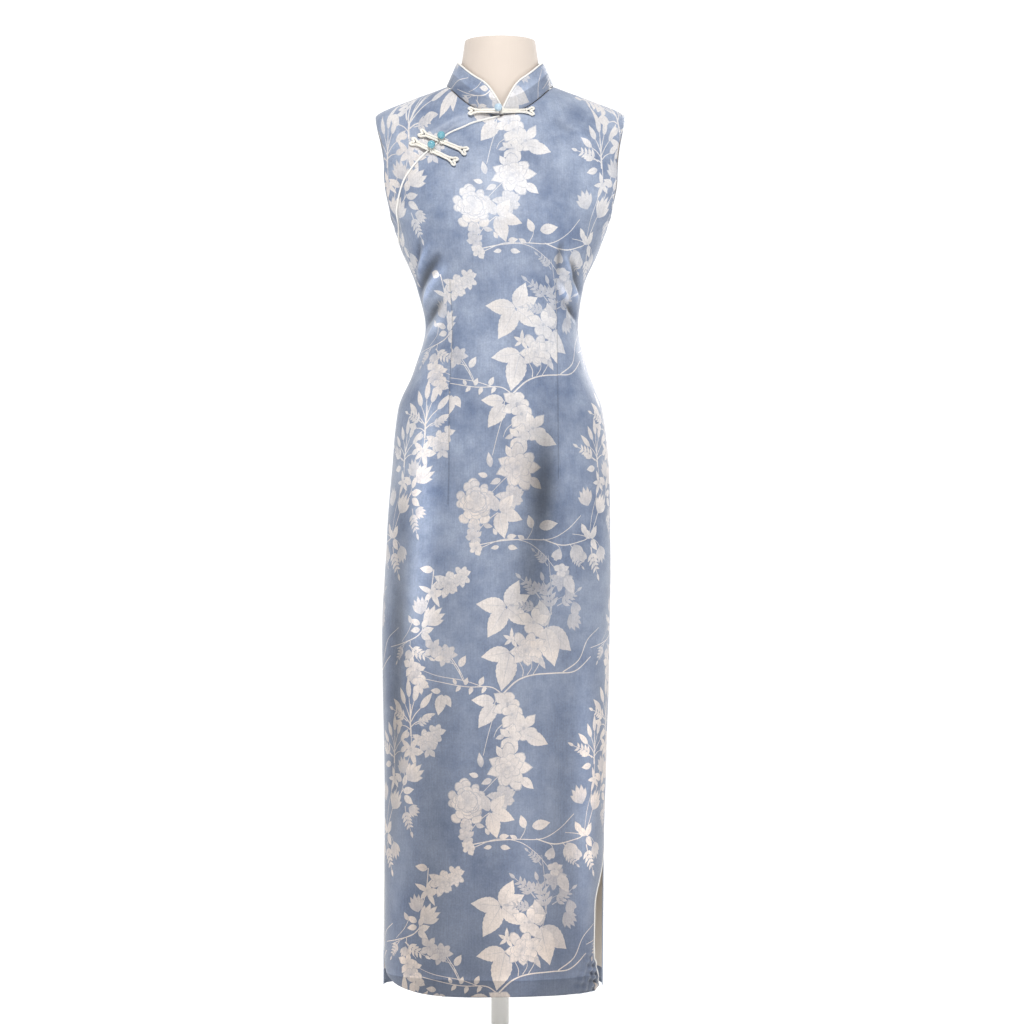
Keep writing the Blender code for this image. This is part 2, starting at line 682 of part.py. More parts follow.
def build_form(parent):
    cover = material("form_cover", (0.90, 0.84, 0.77), 0.7)
    metal = material("form_metal", (0.86, 0.85, 0.83), 0.35, 0.6)
    levels = (
        span(TORSO_BOTTOM, 0.990, 8) + span(0.990, 1.200, 8)
        + span(1.200, 1.338, 5) + span(1.338, 1.400, 7)
        + span(1.400, 1.4575, 3) + [1.4575]
    )
    lofted_object("form_torso", FORM_RINGS, levels, 32, cover, parent)
    flange_bottom = TORSO_BOTTOM - GAP - FLANGE_THICKNESS
    disc_object("form_flange", FLANGE_RADIUS, FLANGE_THICKNESS, flange_bottom, metal, parent)
    pole_bottom = BASE_THICKNESS + GAP
    pole_length = flange_bottom - GAP - pole_bottom
    disc_object("form_pole", POLE_RADIUS, pole_length, pole_bottom, metal, parent, sides=32)
    disc_object("form_base", BASE_RADIUS, BASE_THICKNESS, 0.0, metal, parent, bevel=0.002)


def main():
    clear_scene()
    collection = bpy.data.collections.new("cheongsam_dress")
    bpy.context.scene.collection.children.link(collection)
    root = bpy.data.objects.new("cheongsam_on_form", None)
    collection.objects.link(root)
    build_form(root)
    build_dress(root)


main()
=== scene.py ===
"""The looks of a long sleeveless cheongsam on its dress form.

The cloth is drawn flat, as it would be cut: the print's leaves, flowers and stems are
outlines in the flat cut, cut into the mesh, and every point is then carried on to the
worn surface, which is read from the same rings as the CAD panels. Metres, +Z up, the
wearer faces -Y and the wearer's left is +X.
"""

import math
from collections import namedtuple

import bpy
import numpy as np
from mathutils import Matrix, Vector, geometry, kdtree
from mathutils.bvhtree import BVHTree


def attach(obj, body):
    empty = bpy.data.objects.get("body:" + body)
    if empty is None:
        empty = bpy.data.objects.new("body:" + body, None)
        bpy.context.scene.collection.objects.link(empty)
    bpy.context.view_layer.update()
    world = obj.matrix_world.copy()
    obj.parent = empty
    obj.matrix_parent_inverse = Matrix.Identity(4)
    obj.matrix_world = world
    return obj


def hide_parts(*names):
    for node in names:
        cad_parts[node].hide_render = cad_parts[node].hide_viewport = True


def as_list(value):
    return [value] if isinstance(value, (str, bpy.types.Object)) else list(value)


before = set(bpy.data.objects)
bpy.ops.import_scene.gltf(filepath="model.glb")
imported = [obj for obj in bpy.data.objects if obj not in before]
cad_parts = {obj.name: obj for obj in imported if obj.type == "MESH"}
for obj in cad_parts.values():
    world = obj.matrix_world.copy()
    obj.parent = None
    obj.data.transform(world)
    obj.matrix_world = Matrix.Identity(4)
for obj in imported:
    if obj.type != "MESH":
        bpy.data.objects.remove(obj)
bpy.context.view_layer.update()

# ================================================================ sizes
CLOTH = 0.0010
COLLAR_CLOTH = 0.0022
SEAM_TRIM = 0.0002
SHOULDER_TRIM = 0.0009

HEM_LEVEL = 0.117
SLIT_TOP = 0.330
UNDERARM_LEVEL = 1.190
SHOULDER_LEVEL = 1.350
NECK_LEVEL = 1.394
UNDERLAP_BOTTOM = 1.150
OPENING_BOTTOM = 1.165
OPENING_PIPING_TOP = 1.3925
HEM_BAND = 0.022  # the turned hem

ARMHOLE_FRONT_DEG = 30.0
ARMHOLE_BACK_DEG = 27.0
SLIT_OPEN_LEFT = 0.043
SLIT_OPEN_RIGHT = 0.011
SLIT_CLOSES = 0.45
SLIT_PIPING_ROOM = 0.0034
HEM_CORNER_LEFT = (0.010, 0.010)
HEM_CORNER_RIGHT = (0.120, 0.052)

FRONT_CENTRE_DEG = 3.0
UNDERLAP_HIDDEN_DEG = 13.0
UNDERLAP_DIP = 0.0036
COLLAR_HEIGHT = 0.042
COLLAR_END_HEIGHT = 0.008
COLLAR_CURVE = 0.045
COLLAR_CURVE_POWER = 2.6
COLLAR_RISE = 0.0012  # how far it stands above the neck seam

OPENING_PIPING_RADIUS = 0.0013
COLLAR_PIPING_RADIUS = 0.0013
SLIT_PIPING_RADIUS = 0.0010
CORD_RADIUS = 0.0016
CORD_LIFT = 0.0015
BEAD_RADIUS = 0.0056

FINE_GRID = 0.0046  # spacing of the outer cloth's points between the print's outlines
COARSE_GRID = 0.0090  # and of the inner face's
FOLD_GRID = 0.0028  # and of both faces where a fold bends the cloth more than FOLD_BEND
FOLD_BEND = 0.0003
EDGE_STEP = 0.0035
EDGE_INSETS = (0.0013, 0.0032)  # rows of points just inside every edge
EDGE_DIP, EDGE_DIP_REACH = 0.0005, 0.0012  # how far and how near the edge a face sinks
DEEPEST = 0.0064  # no fold goes in further, so that the cloth stays clear of the form

# Rings round the worn dress, as in the CAD model: heights at the side, front and back,
# half width, depths from the side seam, fullness (2 is an ellipse), shift and seam.
DRESS_RINGS = (
    # level, front_z, back_z, half_width, front, back, fullness, shift, seam_y
    (0.117, 0.117, 0.117, 0.1550, 0.094, 0.100, 2.20, -0.0095, 0.000),  # hem
    (0.330, 0.330, 0.330, 0.1555, 0.097, 0.104, 2.20, -0.0080, 0.000),  # slit top
    (0.440, 0.440, 0.440, 0.1570, 0.099, 0.107, 2.20, -0.0065, 0.000),  # knee
    (0.620, 0.620, 0.620, 0.1610, 0.104, 0.114, 2.20, -0.0055, 0.000),  # thigh
    (0.750, 0.750, 0.750, 0.1585, 0.108, 0.121, 2.20, -0.0020, 0.000),  # low hip
    (0.862, 0.862, 0.862, 0.1530, 0.109, 0.122, 2.15, 0.0005, 0.000),  # hip
    (0.935, 0.935, 0.935, 0.1445, 0.103, 0.108, 2.10, 0.0005, 0.000),  # high hip
    (0.990, 0.990, 0.990, 0.1230, 0.094, 0.091, 2.10, 0.0010, 0.000),  # belly
    (1.050, 1.050, 1.050, 0.1080, 0.085, 0.080, 2.10, 0.0025, 0.000),  # waist
    (1.110, 1.110, 1.110, 0.1190, 0.097, 0.088, 2.10, 0.0000, 0.000),  # ribs
    (1.160, 1.158, 1.160, 0.1400, 0.116, 0.098, 2.20, 0.0000, 0.000),  # bust
    (1.190, 1.186, 1.190, 0.1510, 0.118, 0.102, 2.25, 0.0010, 0.000),  # underarm
    (1.213, 1.205, 1.212, 0.1670, 0.114, 0.104, 2.20, 0.0010, 0.000),  # low armhole
    (1.270, 1.252, 1.264, 0.1880, 0.100, 0.106, 2.10, 0.0010, 0.000),  # mid armhole
    (1.327, 1.291, 1.308, 0.1840, 0.084, 0.094, 2.00, 0.0005, 0.002),  # high armhole
    (1.350, 1.306, 1.328, 0.1775, 0.077, 0.082, 2.00, 0.0000, 0.004),  # shoulder tip
    (1.374, 1.321, 1.356, 0.1260, 0.071, 0.070, 2.00, 0.0000, 0.006),  # mid shoulder
    (1.385, 1.333, 1.382, 0.0980, 0.068, 0.065, 2.00, 0.0000, 0.008),  # near neck
    (1.394, 1.344, 1.400, 0.0760, 0.066, 0.062, 2.00, 0.0000, 0.010),  # neck seam
)
COLLAR_TOP = (1.425, 1.386, 1.440, 0.0620, 0.058, 0.056, 2.00, 0.0000, 0.008)
FORM_RINGS = (
    (0.700, 0.700, 0.700, 0.1400, 0.088, 0.100, 2.20, -0.0030, 0.000),
    (0.750, 0.750, 0.750, 0.1480, 0.098, 0.111, 2.20, -0.0020, 0.000),
    (0.862, 0.862, 0.862, 0.1450, 0.101, 0.114, 2.15, 0.0005, 0.000),
    (0.935, 0.935, 0.935, 0.1365, 0.095, 0.100, 2.10, 0.0005, 0.000),
    (0.990, 0.990, 0.990, 0.1150, 0.086, 0.083, 2.10, 0.0010, 0.000),
    (1.050, 1.050, 1.050, 0.1000, 0.077, 0.072, 2.10, 0.0025, 0.000),
    (1.110, 1.110, 1.110, 0.1110, 0.088, 0.080, 2.10, 0.0000, 0.000),
    (1.160, 1.158, 1.160, 0.1310, 0.106, 0.090, 2.15, 0.0000, 0.000),
    (1.200, 1.195, 1.200, 0.1430, 0.104, 0.095, 2.15, 0.0000, 0.000),
    (1.262, 1.248, 1.257, 0.1500, 0.088, 0.093, 2.15, 0.0000, 0.000),
    (1.310, 1.283, 1.298, 0.1530, 0.074, 0.083, 2.10, 0.0000, 0.002),
    (1.338, 1.297, 1.322, 0.1480, 0.066, 0.071, 2.00, 0.0000, 0.004),
    (1.353, 1.306, 1.338, 0.1330, 0.063, 0.063, 2.00, 0.0000, 0.006),
    (1.366, 1.318, 1.356, 0.1080, 0.060, 0.058, 2.00, 0.0000, 0.007),
    (1.379, 1.333, 1.378, 0.0800, 0.057, 0.055, 2.00, 0.0000, 0.008),
    (1.400, 1.365, 1.400, 0.0600, 0.052, 0.052, 2.00, 0.0000, 0.007),
    (1.430, 1.415, 1.430, 0.0540, 0.050, 0.051, 2.00, 0.0000, 0.004),
    (1.4575, 1.4575, 1.4575, 0.0500, 0.049, 0.050, 2.00, 0.0000, 0.002),
)

# The flap's curved edge: level, degrees round from the middle of the front.
OPENING_EDGE = (
    (1.165, -90.0),
    (1.176, -79.0),
    (1.190, -69.0),
    (1.212, -58.5),
    (1.243, -48.5),
    (1.307, -34.0),
    (1.343, -26.0),
    (1.376, -21.0),
    (1.387, -12.0),
    (1.394, FRONT_CENTRE_DEG),
)

# Diamond darts: how far round they lie, where they start, are widest and end, and the
# cloth that each takes in.
Dart = namedtuple("Dart", "around low widest high intake")
FRONT_DARTS = (
    Dart(-0.072, 0.800, 1.035, 1.112, 0.020),
    Dart(0.083, 0.835, 1.035, 1.112, 0.020),
)
FRONT_SLANT = ((0.117, 0.007), (0.620, 0.011), (1.080, 0.018), (1.240, 0.008), (1.394, 0.006))
BACK_DARTS = (
    Dart(-0.070, 0.880, 1.045, 1.180, 0.022),
    Dart(0.070, 0.880, 1.045, 1.180, 0.022),
)

# Soft folds: a line from (around, level) to (around, level), its half width and depth,
# in (-) or out (+), in metres.
Fold = namedtuple("Fold", "around_a level_a around_b level_b half_width depth")
FRONT_FOLDS = (
    Fold(-0.122, 1.166, -0.132, 1.138, 0.0055, -0.0036),
    Fold(-0.108, 1.156, -0.134, 1.124, 0.0050, 0.0042),
    Fold(-0.094, 1.140, -0.138, 1.104, 0.0068, -0.0080),
    Fold(-0.084, 1.124, -0.130, 1.084, 0.0056, 0.0058),
    Fold(-0.092, 1.082, -0.132, 1.056, 0.0066, -0.0070),
    Fold(-0.090, 1.060, -0.122, 1.036, 0.0058, 0.0034),
    Fold(0.089, 1.160, 0.087, 1.124, 0.0050, -0.0050),
    Fold(0.098, 1.142, 0.114, 1.120, 0.0050, 0.0052),
    Fold(0.106, 1.138, 0.138, 1.102, 0.0064, -0.0080),
    Fold(0.090, 1.104, 0.108, 1.078, 0.0056, 0.0052),
    Fold(0.120, 1.104, 0.130, 1.086, 0.0058, 0.0036),
    Fold(0.100, 1.084, 0.128, 1.064, 0.0062, -0.0070),
    Fold(0.068, 0.884, 0.060, 0.770, 0.013, -0.0034),
    Fold(0.062, 0.900, 0.046, 0.640, 0.022, -0.0045),
    Fold(-0.108, 0.930, -0.112, 0.560, 0.020, 0.0040),
    Fold(-0.150, 0.740, -0.156, 0.360, 0.018, -0.0040),
    Fold(0.128, 0.560, 0.134, 0.200, 0.022, 0.0040),
    Fold(-0.060, 1.376, -0.086, 1.352, 0.005, -0.0012),
    Fold(0.080, 1.372, 0.104, 1.352, 0.006, -0.0014),
    Fold(0.112, 1.350, 0.130, 1.322, 0.006, 0.0012),
)
CRUMPLE_AT = (0.154, 0.138)  # the crumpled left hem corner: its middle, size and depth
CRUMPLE_SIZE = (0.026, 0.028)
CRUMPLE_DEPTH = 0.0023
BACK_FOLDS = (
    Fold(0.080, 1.130, 0.132, 1.085, 0.012, -0.0045),
    Fold(-0.078, 1.120, -0.130, 1.078, 0.012, -0.0045),
    Fold(0.030, 1.040, -0.040, 1.028, 0.010, -0.0030),
    Fold(0.050, 0.800, 0.062, 0.420, 0.024, -0.0045),
    Fold(-0.070, 0.780, -0.058, 0.340, 0.022, 0.0040),
)


# ================================================================ the worn surface
def read_table(rows, at):
    """Every column of a table at many values of its first, on smooth curves that never
    overshoot."""
    rows = np.array(rows, float)
    keys = rows[:, 0]
    at = np.clip(at, keys[0], keys[-1])
    step = np.diff(keys)[:, None]
    secants = np.diff(rows, axis=0) / step
    a, b = secants[:-1], secants[1:]
    same_way = a * b > 0
    inner = np.where(same_way, 2 * a * b / np.where(same_way, a + b, 1.0), 0.0)
    slope = np.vstack([secants[:1], inner, secants[-1:]])
    i = np.clip(np.searchsorted(keys, at, side="right") - 1, 0, len(keys) - 2)
    t = ((at - keys[i]) / step[i, 0])[:, None]
    return (
        (1 + 2 * t) * (1 - t) ** 2 * rows[i]
        + t * (1 - t) ** 2 * step[i] * slope[i]
        + t * t * (3 - 2 * t) * rows[i + 1]
        - t * t * (1 - t) * step[i] * slope[i + 1]
    )


class Half:
    """The front or the back half of a body of rings. A point is at a distance round
    from its middle, positive towards the wearer's left, and at a level."""

    SAMPLES = 241

    def __init__(self, rings, back=False):
        self.out = -1.0 if back else 1.0
        low, high = rings[0][0], rings[-1][0]
        self.levels = np.linspace(low, high, int((high - low) / 0.0025) + 2)
        _, front_z, back_z, half, front, depth_back, full, shift, seam = read_table(
            rings, self.levels
        ).T[:, :, None]
        middle_z, depth = (back_z, depth_back) if back else (front_z, front)
        angle = np.radians(np.linspace(0, 90, self.SAMPLES))[None, :]
        s, c = np.sin(angle), np.abs(np.cos(angle))
        x = half * s ** (2 / full)
        y = seam - self.out * depth * c ** (2 / full)
        z = self.levels[:, None] + (middle_z - self.levels[:, None]) * c * c
        points = np.stack([x, y, z], axis=2)
        step = np.linalg.norm(np.diff(points, axis=1), axis=2)
        self.run = np.hstack([np.zeros((len(step), 1)), np.cumsum(step, axis=1)])
        self.reach = self.run[:, -1]
        even = np.linspace(0, 1, self.SAMPLES)
        self.table = np.stack([
            np.column_stack([np.interp(even * r[-1], r, p[:, k]) for k in range(3)])
            for r, p in zip(self.run, points)
        ])
        self.shift = shift[:, 0]
        rise = np.linalg.norm(np.diff(self.table[:, 0], axis=0), axis=1)
        self.heights = np.concatenate([[0.0], np.cumsum(rise)])

    def row(self, level):
        return (np.asarray(level, float) - self.levels[0]) / (self.levels[1] - self.levels[0])

    def reach_at(self, level):
        """How far round the side seam is."""
        return np.interp(level, self.levels, self.reach)

    def around_at(self, degrees, level):
        """The distance round to an angle from the half's middle."""
        rows = np.clip(self.row(level), 0, len(self.levels) - 1.001)
        i = rows.astype(int)
        column = np.abs(degrees) / 90 * (self.SAMPLES - 1)
        j = np.clip(column.astype(int), 0, self.SAMPLES - 2)
        f, g = rows - i, column - j
        low = self.run[i, j] * (1 - g) + self.run[i, j + 1] * g
        high = self.run[i + 1, j] * (1 - g) + self.run[i + 1, j + 1] * g
        return np.sign(degrees) * (low * (1 - f) + high * f)

    def height(self, level):
        """The length of cloth up the half's middle to a level."""
        return np.interp(level, self.levels, self.heights)

    def level(self, height):
        return np.interp(height, self.heights, self.levels)

    def smooth(self, around, level):
        rows = np.clip(self.row(level), 0, len(self.levels) - 1.001)
        i = rows.astype(int)
        f = (rows - i)[:, None]
        share = np.clip(np.abs(around) / self.reach_at(level), 0, 1) * (self.SAMPLES - 1)
        j = np.clip(share.astype(int), 0, self.SAMPLES - 2)
        g = (share - j)[:, None]
        low = self.table[i, j] * (1 - g) + self.table[i, j + 1] * g
        high = self.table[i + 1, j] * (1 - g) + self.table[i + 1, j + 1] * g
        points = low * (1 - f) + high * f
        points[:, 0] = points[:, 0] * np.sign(around) + np.interp(level, self.levels, self.shift)
        return points


def surface_normals(place, a, l, out, step=0.0012):
    """Outward normals of place(a, l) by small steps both ways."""
    across = place(a + step, l) - place(a - step, l)
    up = place(a, l + step) - place(a, l - step)
    normal = np.cross(across, up) * out
    return normal / np.maximum(np.linalg.norm(normal, axis=1), 1e-12)[:, None]


def fold_relief(folds, a, l):
    relief = np.zeros_like(a)
    for fold in folds:
        da, dl = fold.around_b - fold.around_a, fold.level_b - fold.level_a
        t = ((a - fold.around_a) * da + (l - fold.level_a) * dl) / (da * da + dl * dl)
        across = np.hypot(a - fold.around_a - t * da, l - fold.level_a - t * dl)
        ends = np.sin(np.pi * np.clip((t + 0.25) / 1.5, 0, 1))
        relief += fold.depth * ends * np.exp(-((across / fold.half_width) ** 2))
    return np.where(relief < 0, -DEEPEST * np.tanh(-relief / DEEPEST), relief)


# ================================================================ the print
class Print:
    """Outlines of one repeat, drawn from below to above, in millimetres. Each has a tone
    at its start and one at its end. Tone 0 is the blue ground and 1 the palest flowers."""

    def __init__(self, width, height):
        self.width, self.height = width, height
        self.shapes = []

    def add(self, points, tone, tone_end=None, start=None, end=None):
        points = np.asarray(points, float)
        if polygon_area(points) < 0:
            points = points[::-1]  # the triangulation fills what lies left of an outline
        start = points.mean(axis=0) if start is None else np.asarray(start, float)
        end = start + (1.0, 0.0) if end is None else np.asarray(end, float)
        tone_end = tone if tone_end is None else tone_end
        self.shapes.append((points, tone, tone_end, start, end))


def turned(points, angle, x, y):
    c, s = math.cos(math.radians(angle)), math.sin(math.radians(angle))
    return np.asarray(points) @ np.array([[c, s], [-s, c]]) + (x, y)


def leaf(draw, x, y, angle, length, width, tone, veins, teeth):
    """A pointed leaf from its stalk, with teeth, a midrib and side veins."""
    width = 0.56 * length if width is None else width
    count = 15 if teeth else 7
    t = np.linspace(0, 1, count + 1)[1:-1]
    half = width / 2 * np.sin(np.pi * t ** 0.8) ** 0.85
    if teeth:
        half = half * (1 + 0.035 * np.where(np.arange(len(t)) % 2, 1, -1))
    up = np.column_stack([t * length, half])[::-1]
    down = np.column_stack([t * length, -half])
    outline = np.vstack([[[0, 0]], down, [[length * 1.04, 0]], up])
    draw.add(
        turned(outline, angle, x, y), tone * 0.84, tone,
        turned([[0, 0]], angle, x, y)[0], turned([[length * 0.7, 0]], angle, x, y)[0],
    )
    if not veins:
        return
    thin = 0.010 * length + 0.12
    rib = [
        [0.03 * length, -thin], [0.5 * length, -thin * 0.6], [0.92 * length, 0],
        [0.5 * length, thin * 0.6], [0.03 * length, thin],
    ]
    draw.add(turned(rib, angle, x, y), tone * 0.62)
    for at in (0.24, 0.42, 0.60):
        for side in (-1, 1):
            root = np.array([at * length, 0.0])
            reach = width * 0.5 * math.sin(math.pi * (at + 0.12) ** 0.8) * 0.72
            end = root + (reach * 0.75, side * reach)
            across = np.array([0.0, -side * thin * 0.45])
            draw.add(turned([root - across, end, root + across][::side], angle, x, y), tone * 0.72)


def stem(draw, points, width, tone):
    """A tapering stem through a few points."""
    path = smooth_curve(np.asarray(points, float), 6)
    along = np.gradient(path, axis=0)
    along /= np.linalg.norm(along, axis=1)[:, None]
    across = np.column_stack([-along[:, 1], along[:, 0]])
    half = (np.linspace(width, width * 0.55, len(path)) / 2)[:, None]
    draw.add(np.vstack([path + across * half, (path - across * half)[::-1]])[::-1], tone)
    return path


def smooth_curve(corners, steps):
    """A smooth curve through corners, in the plane or in space."""
    padded = np.vstack([2 * corners[0] - corners[1], corners, 2 * corners[-1] - corners[-2]])
    t = np.linspace(0, 1, steps, endpoint=False)[:, None]
    parts = [
        0.5 * (2 * b + (c - a) * t + (2 * a - 5 * b + 4 * c - d) * t * t
               + (3 * b - a - 3 * c + d) * t ** 3)
        for a, b, c, d in zip(padded, padded[1:], padded[2:], padded[3:])
    ]
    return np.vstack([*parts, corners[-1:]])


def petal(draw, x, y, angle, length, width, tone, dark, point=0.0, rim=0.0):
    """A petal, darker at its root. point draws its end out, and rim is a dark line
    left round it, to part it from the petals under it."""
    t = np.linspace(0, 1, 6)[1:]
    half = width / 2 * np.sin(np.pi * (0.12 + 0.76 * t) ** 1.5)
    up = np.column_stack([t * length, half])
    down = np.column_stack([t * length, -half])
    for size, shade in ((1 + rim, tone * 0.58), (1.0, tone)):
        if size == 1.0 or rim > 0:
            tip = [[length * (0.98 + point), width * 0.08 * math.sin(angle)]]
            outline = np.vstack([[[0, 0]], down, tip, up[::-1]]) * size
            draw.add(
                turned(outline, angle, x, y), shade * dark, shade,
                (x, y), turned([[length * 0.8, 0]], angle, x, y)[0],
            )


def uneven(k, low, high):
    """A fixed, irregular value between low and high for the k-th of a set."""
    return low + (high - low) * (0.5 + 0.5 * math.sin(12.9 * k + 4.1 * k * k))


def blossom(draw, x, y, angle, size, tone):
    """An open flower of five uneven petals with a small eye."""
    for k in range(5):
        long = size * uneven(k + size, 0.42, 0.58)
        wide = size * uneven(k + 2 * size, 0.36, 0.50)
        facing = angle + 72 * k + uneven(k, -12, 12)
        petal(draw, x, y, facing, long, wide, tone, 0.76, uneven(k + size, 0.05, 0.3), 0.07)
    eye(draw, x, y, size * 0.075, tone * 0.55)
    for k in range(5):
        a = math.radians(angle + 18 + 72 * k)
        r = size * (0.15 + 0.04 * (k % 2))
        eye(draw, x + r * math.cos(a), y + r * math.sin(a), size * 0.018, tone * 0.55, 4)


def eye(draw, x, y, radius, tone, sides=7):
    ring = [
        (x + radius * math.cos(2 * math.pi * k / sides), y + radius * math.sin(2 * math.pi * k / sides))
        for k in range(sides)
    ]
    draw.add(ring, tone)


def star(draw, x, y, angle, size, tone):
    """A flower of narrow pointed petals, one longer than the rest."""
    for turn, long in ((0, 1.0), (62, 0.8), (128, 0.75), (215, 0.9), (292, 0.7)):
        leaf(draw, x, y, angle + turn, size * long * 0.62, size * 0.2, tone, False, False)
    eye(draw, x, y, size * 0.07, tone * 0.7, 6)


def rose(draw, x, y, angle, size, tone):
    """A dense flower: rings of uneven pointed petals, each set between the last."""
    rings = ((7, 0.56, 0.33), (6, 0.43, 0.28), (5, 0.29, 0.22), (4, 0.17, 0.15))
    for ring, (count, reach, wide) in enumerate(rings):
        for k in range(count):
            a = angle + ring * 27 + 360 * k / count + uneven(k + ring, -13, 13)
            long = size * reach * uneven(k + 3 * ring + size, 0.80, 1.12)
            shade = tone * uneven(k + ring, 0.90, 1.0)
            petal(draw, x, y, a, long, size * wide, shade, 0.62, uneven(k, 0.08, 0.34), 0.06)
    eye(draw, x, y, size * 0.035, tone * 0.6)


def peony(draw, x, y, angle, size, tone):
    """A ruffled flower of many small lobes, fuller to one side."""
    rings = ((11, 0.52), (10, 0.44), (8, 0.35), (7, 0.26), (5, 0.17), (3, 0.09))
    for ring, (count, reach) in enumerate(rings):
        for k in range(count):
            turn = 360 * k / count + ring * 21 + uneven(k + ring, -9, 9)
            a = math.radians(angle + turn)
            r = size * max(0.0, reach * uneven(k + 5 * ring, 0.86, 1.10) - 0.23)
            px, py = x + r * math.cos(a), y + r * math.sin(a) * 1.12
            shade = tone * uneven(k + 2 * ring, 0.84, 1.06)
            wide = size * uneven(k + ring, 0.20, 0.29)
            petal(draw, px, py, math.degrees(a), size * 0.25, wide, shade, 0.72, 0.1, 0.09)


def crown(draw, x, y, angle, size, tone):
    """A cup of pointed petals on a narrow base, seen from the side."""
    for turn, long in ((-34, 0.80), (34, 0.76), (-17, 0.96), (17, 0.92), (0, 1.0)):
        petal(draw, x, y, angle + turn, size * long * 0.86, size * 0.30, tone, 0.66, 0.22, 0.06)


def bud(draw, x, y, angle, size, tone):
    """A closed bud in its sepals."""
    leaf(draw, x, y, angle, size, size * 0.42, tone, False, False)
    leaf(draw, x, y, angle + 20, size * 0.6, size * 0.16, tone * 0.8, False, False)
    leaf(draw, x, y, angle - 20, size * 0.6, size * 0.16, tone * 0.8, False, False)


def bell(draw, x, y, angle, size, tone):
    """A hanging flower of three long petals."""
    for turn, long in ((-20, 0.9), (20, 0.86), (0, 1.0)):
        petal(draw, x, y, angle + turn, size * long * 0.9, size * 0.36, tone, 0.6)


def fern(draw, x, y, angle, size, tone):
    """A small bent stem of paired oval leaflets."""
    pairs, bend = 4, 0.25
    path = turned([[0, 0], [size * 0.5, bend * size * 0.3], [size, bend * size]], angle, x, y)
    path = stem(draw, path, size * 0.035 + 0.35, tone)
    for k in range(pairs):
        i = int((0.25 + 0.68 * k / pairs) * (len(path) - 1))
        ahead = path[min(i + 1, len(path) - 1)] - path[i - 1]
        facing = math.degrees(math.atan2(ahead[1], ahead[0]))
        long = size * (0.34 - 0.035 * k)
        for side in (-48, 48):
            leaf(draw, *path[i], facing + side, long, long * 0.42, tone, False, False)
    leaf(draw, *path[-1], angle + bend * 60, size * 0.28, size * 0.12, tone, False, False)


def fan(draw, x, y, angle, size, tone):
    """A stem of slim stalks that spread, each with a narrow leaf at its end."""
    stem(draw, turned([[-0.1 * size, 0], [0.2 * size, 0.01 * size], [0.42 * size, 0]], angle, x, y),
         size * 0.03 + 0.5, tone)
    spread = ((-62, 0.10, 0.5), (-40, 0.2, 0.66), (-17, 0.3, 0.62), (3, 0.34, 0.66),
              (24, 0.26, 0.60), (46, 0.16, 0.62), (70, 0.04, 0.44))
    for turn, at, long in spread:
        root = np.array([at * size, 0.0])
        aim = np.array([math.cos(math.radians(turn)), math.sin(math.radians(turn))])
        middle = root + aim * long * size * 0.3 + (0.03 * size, 0)
        points = turned([root, middle, root + aim * long * size * 0.62], angle, x, y)
        stem(draw, points, size * 0.022 + 0.3, tone)
        leaf(draw, *points[-1], angle + turn, size * long * 0.66, size * 0.15, tone, False, False)


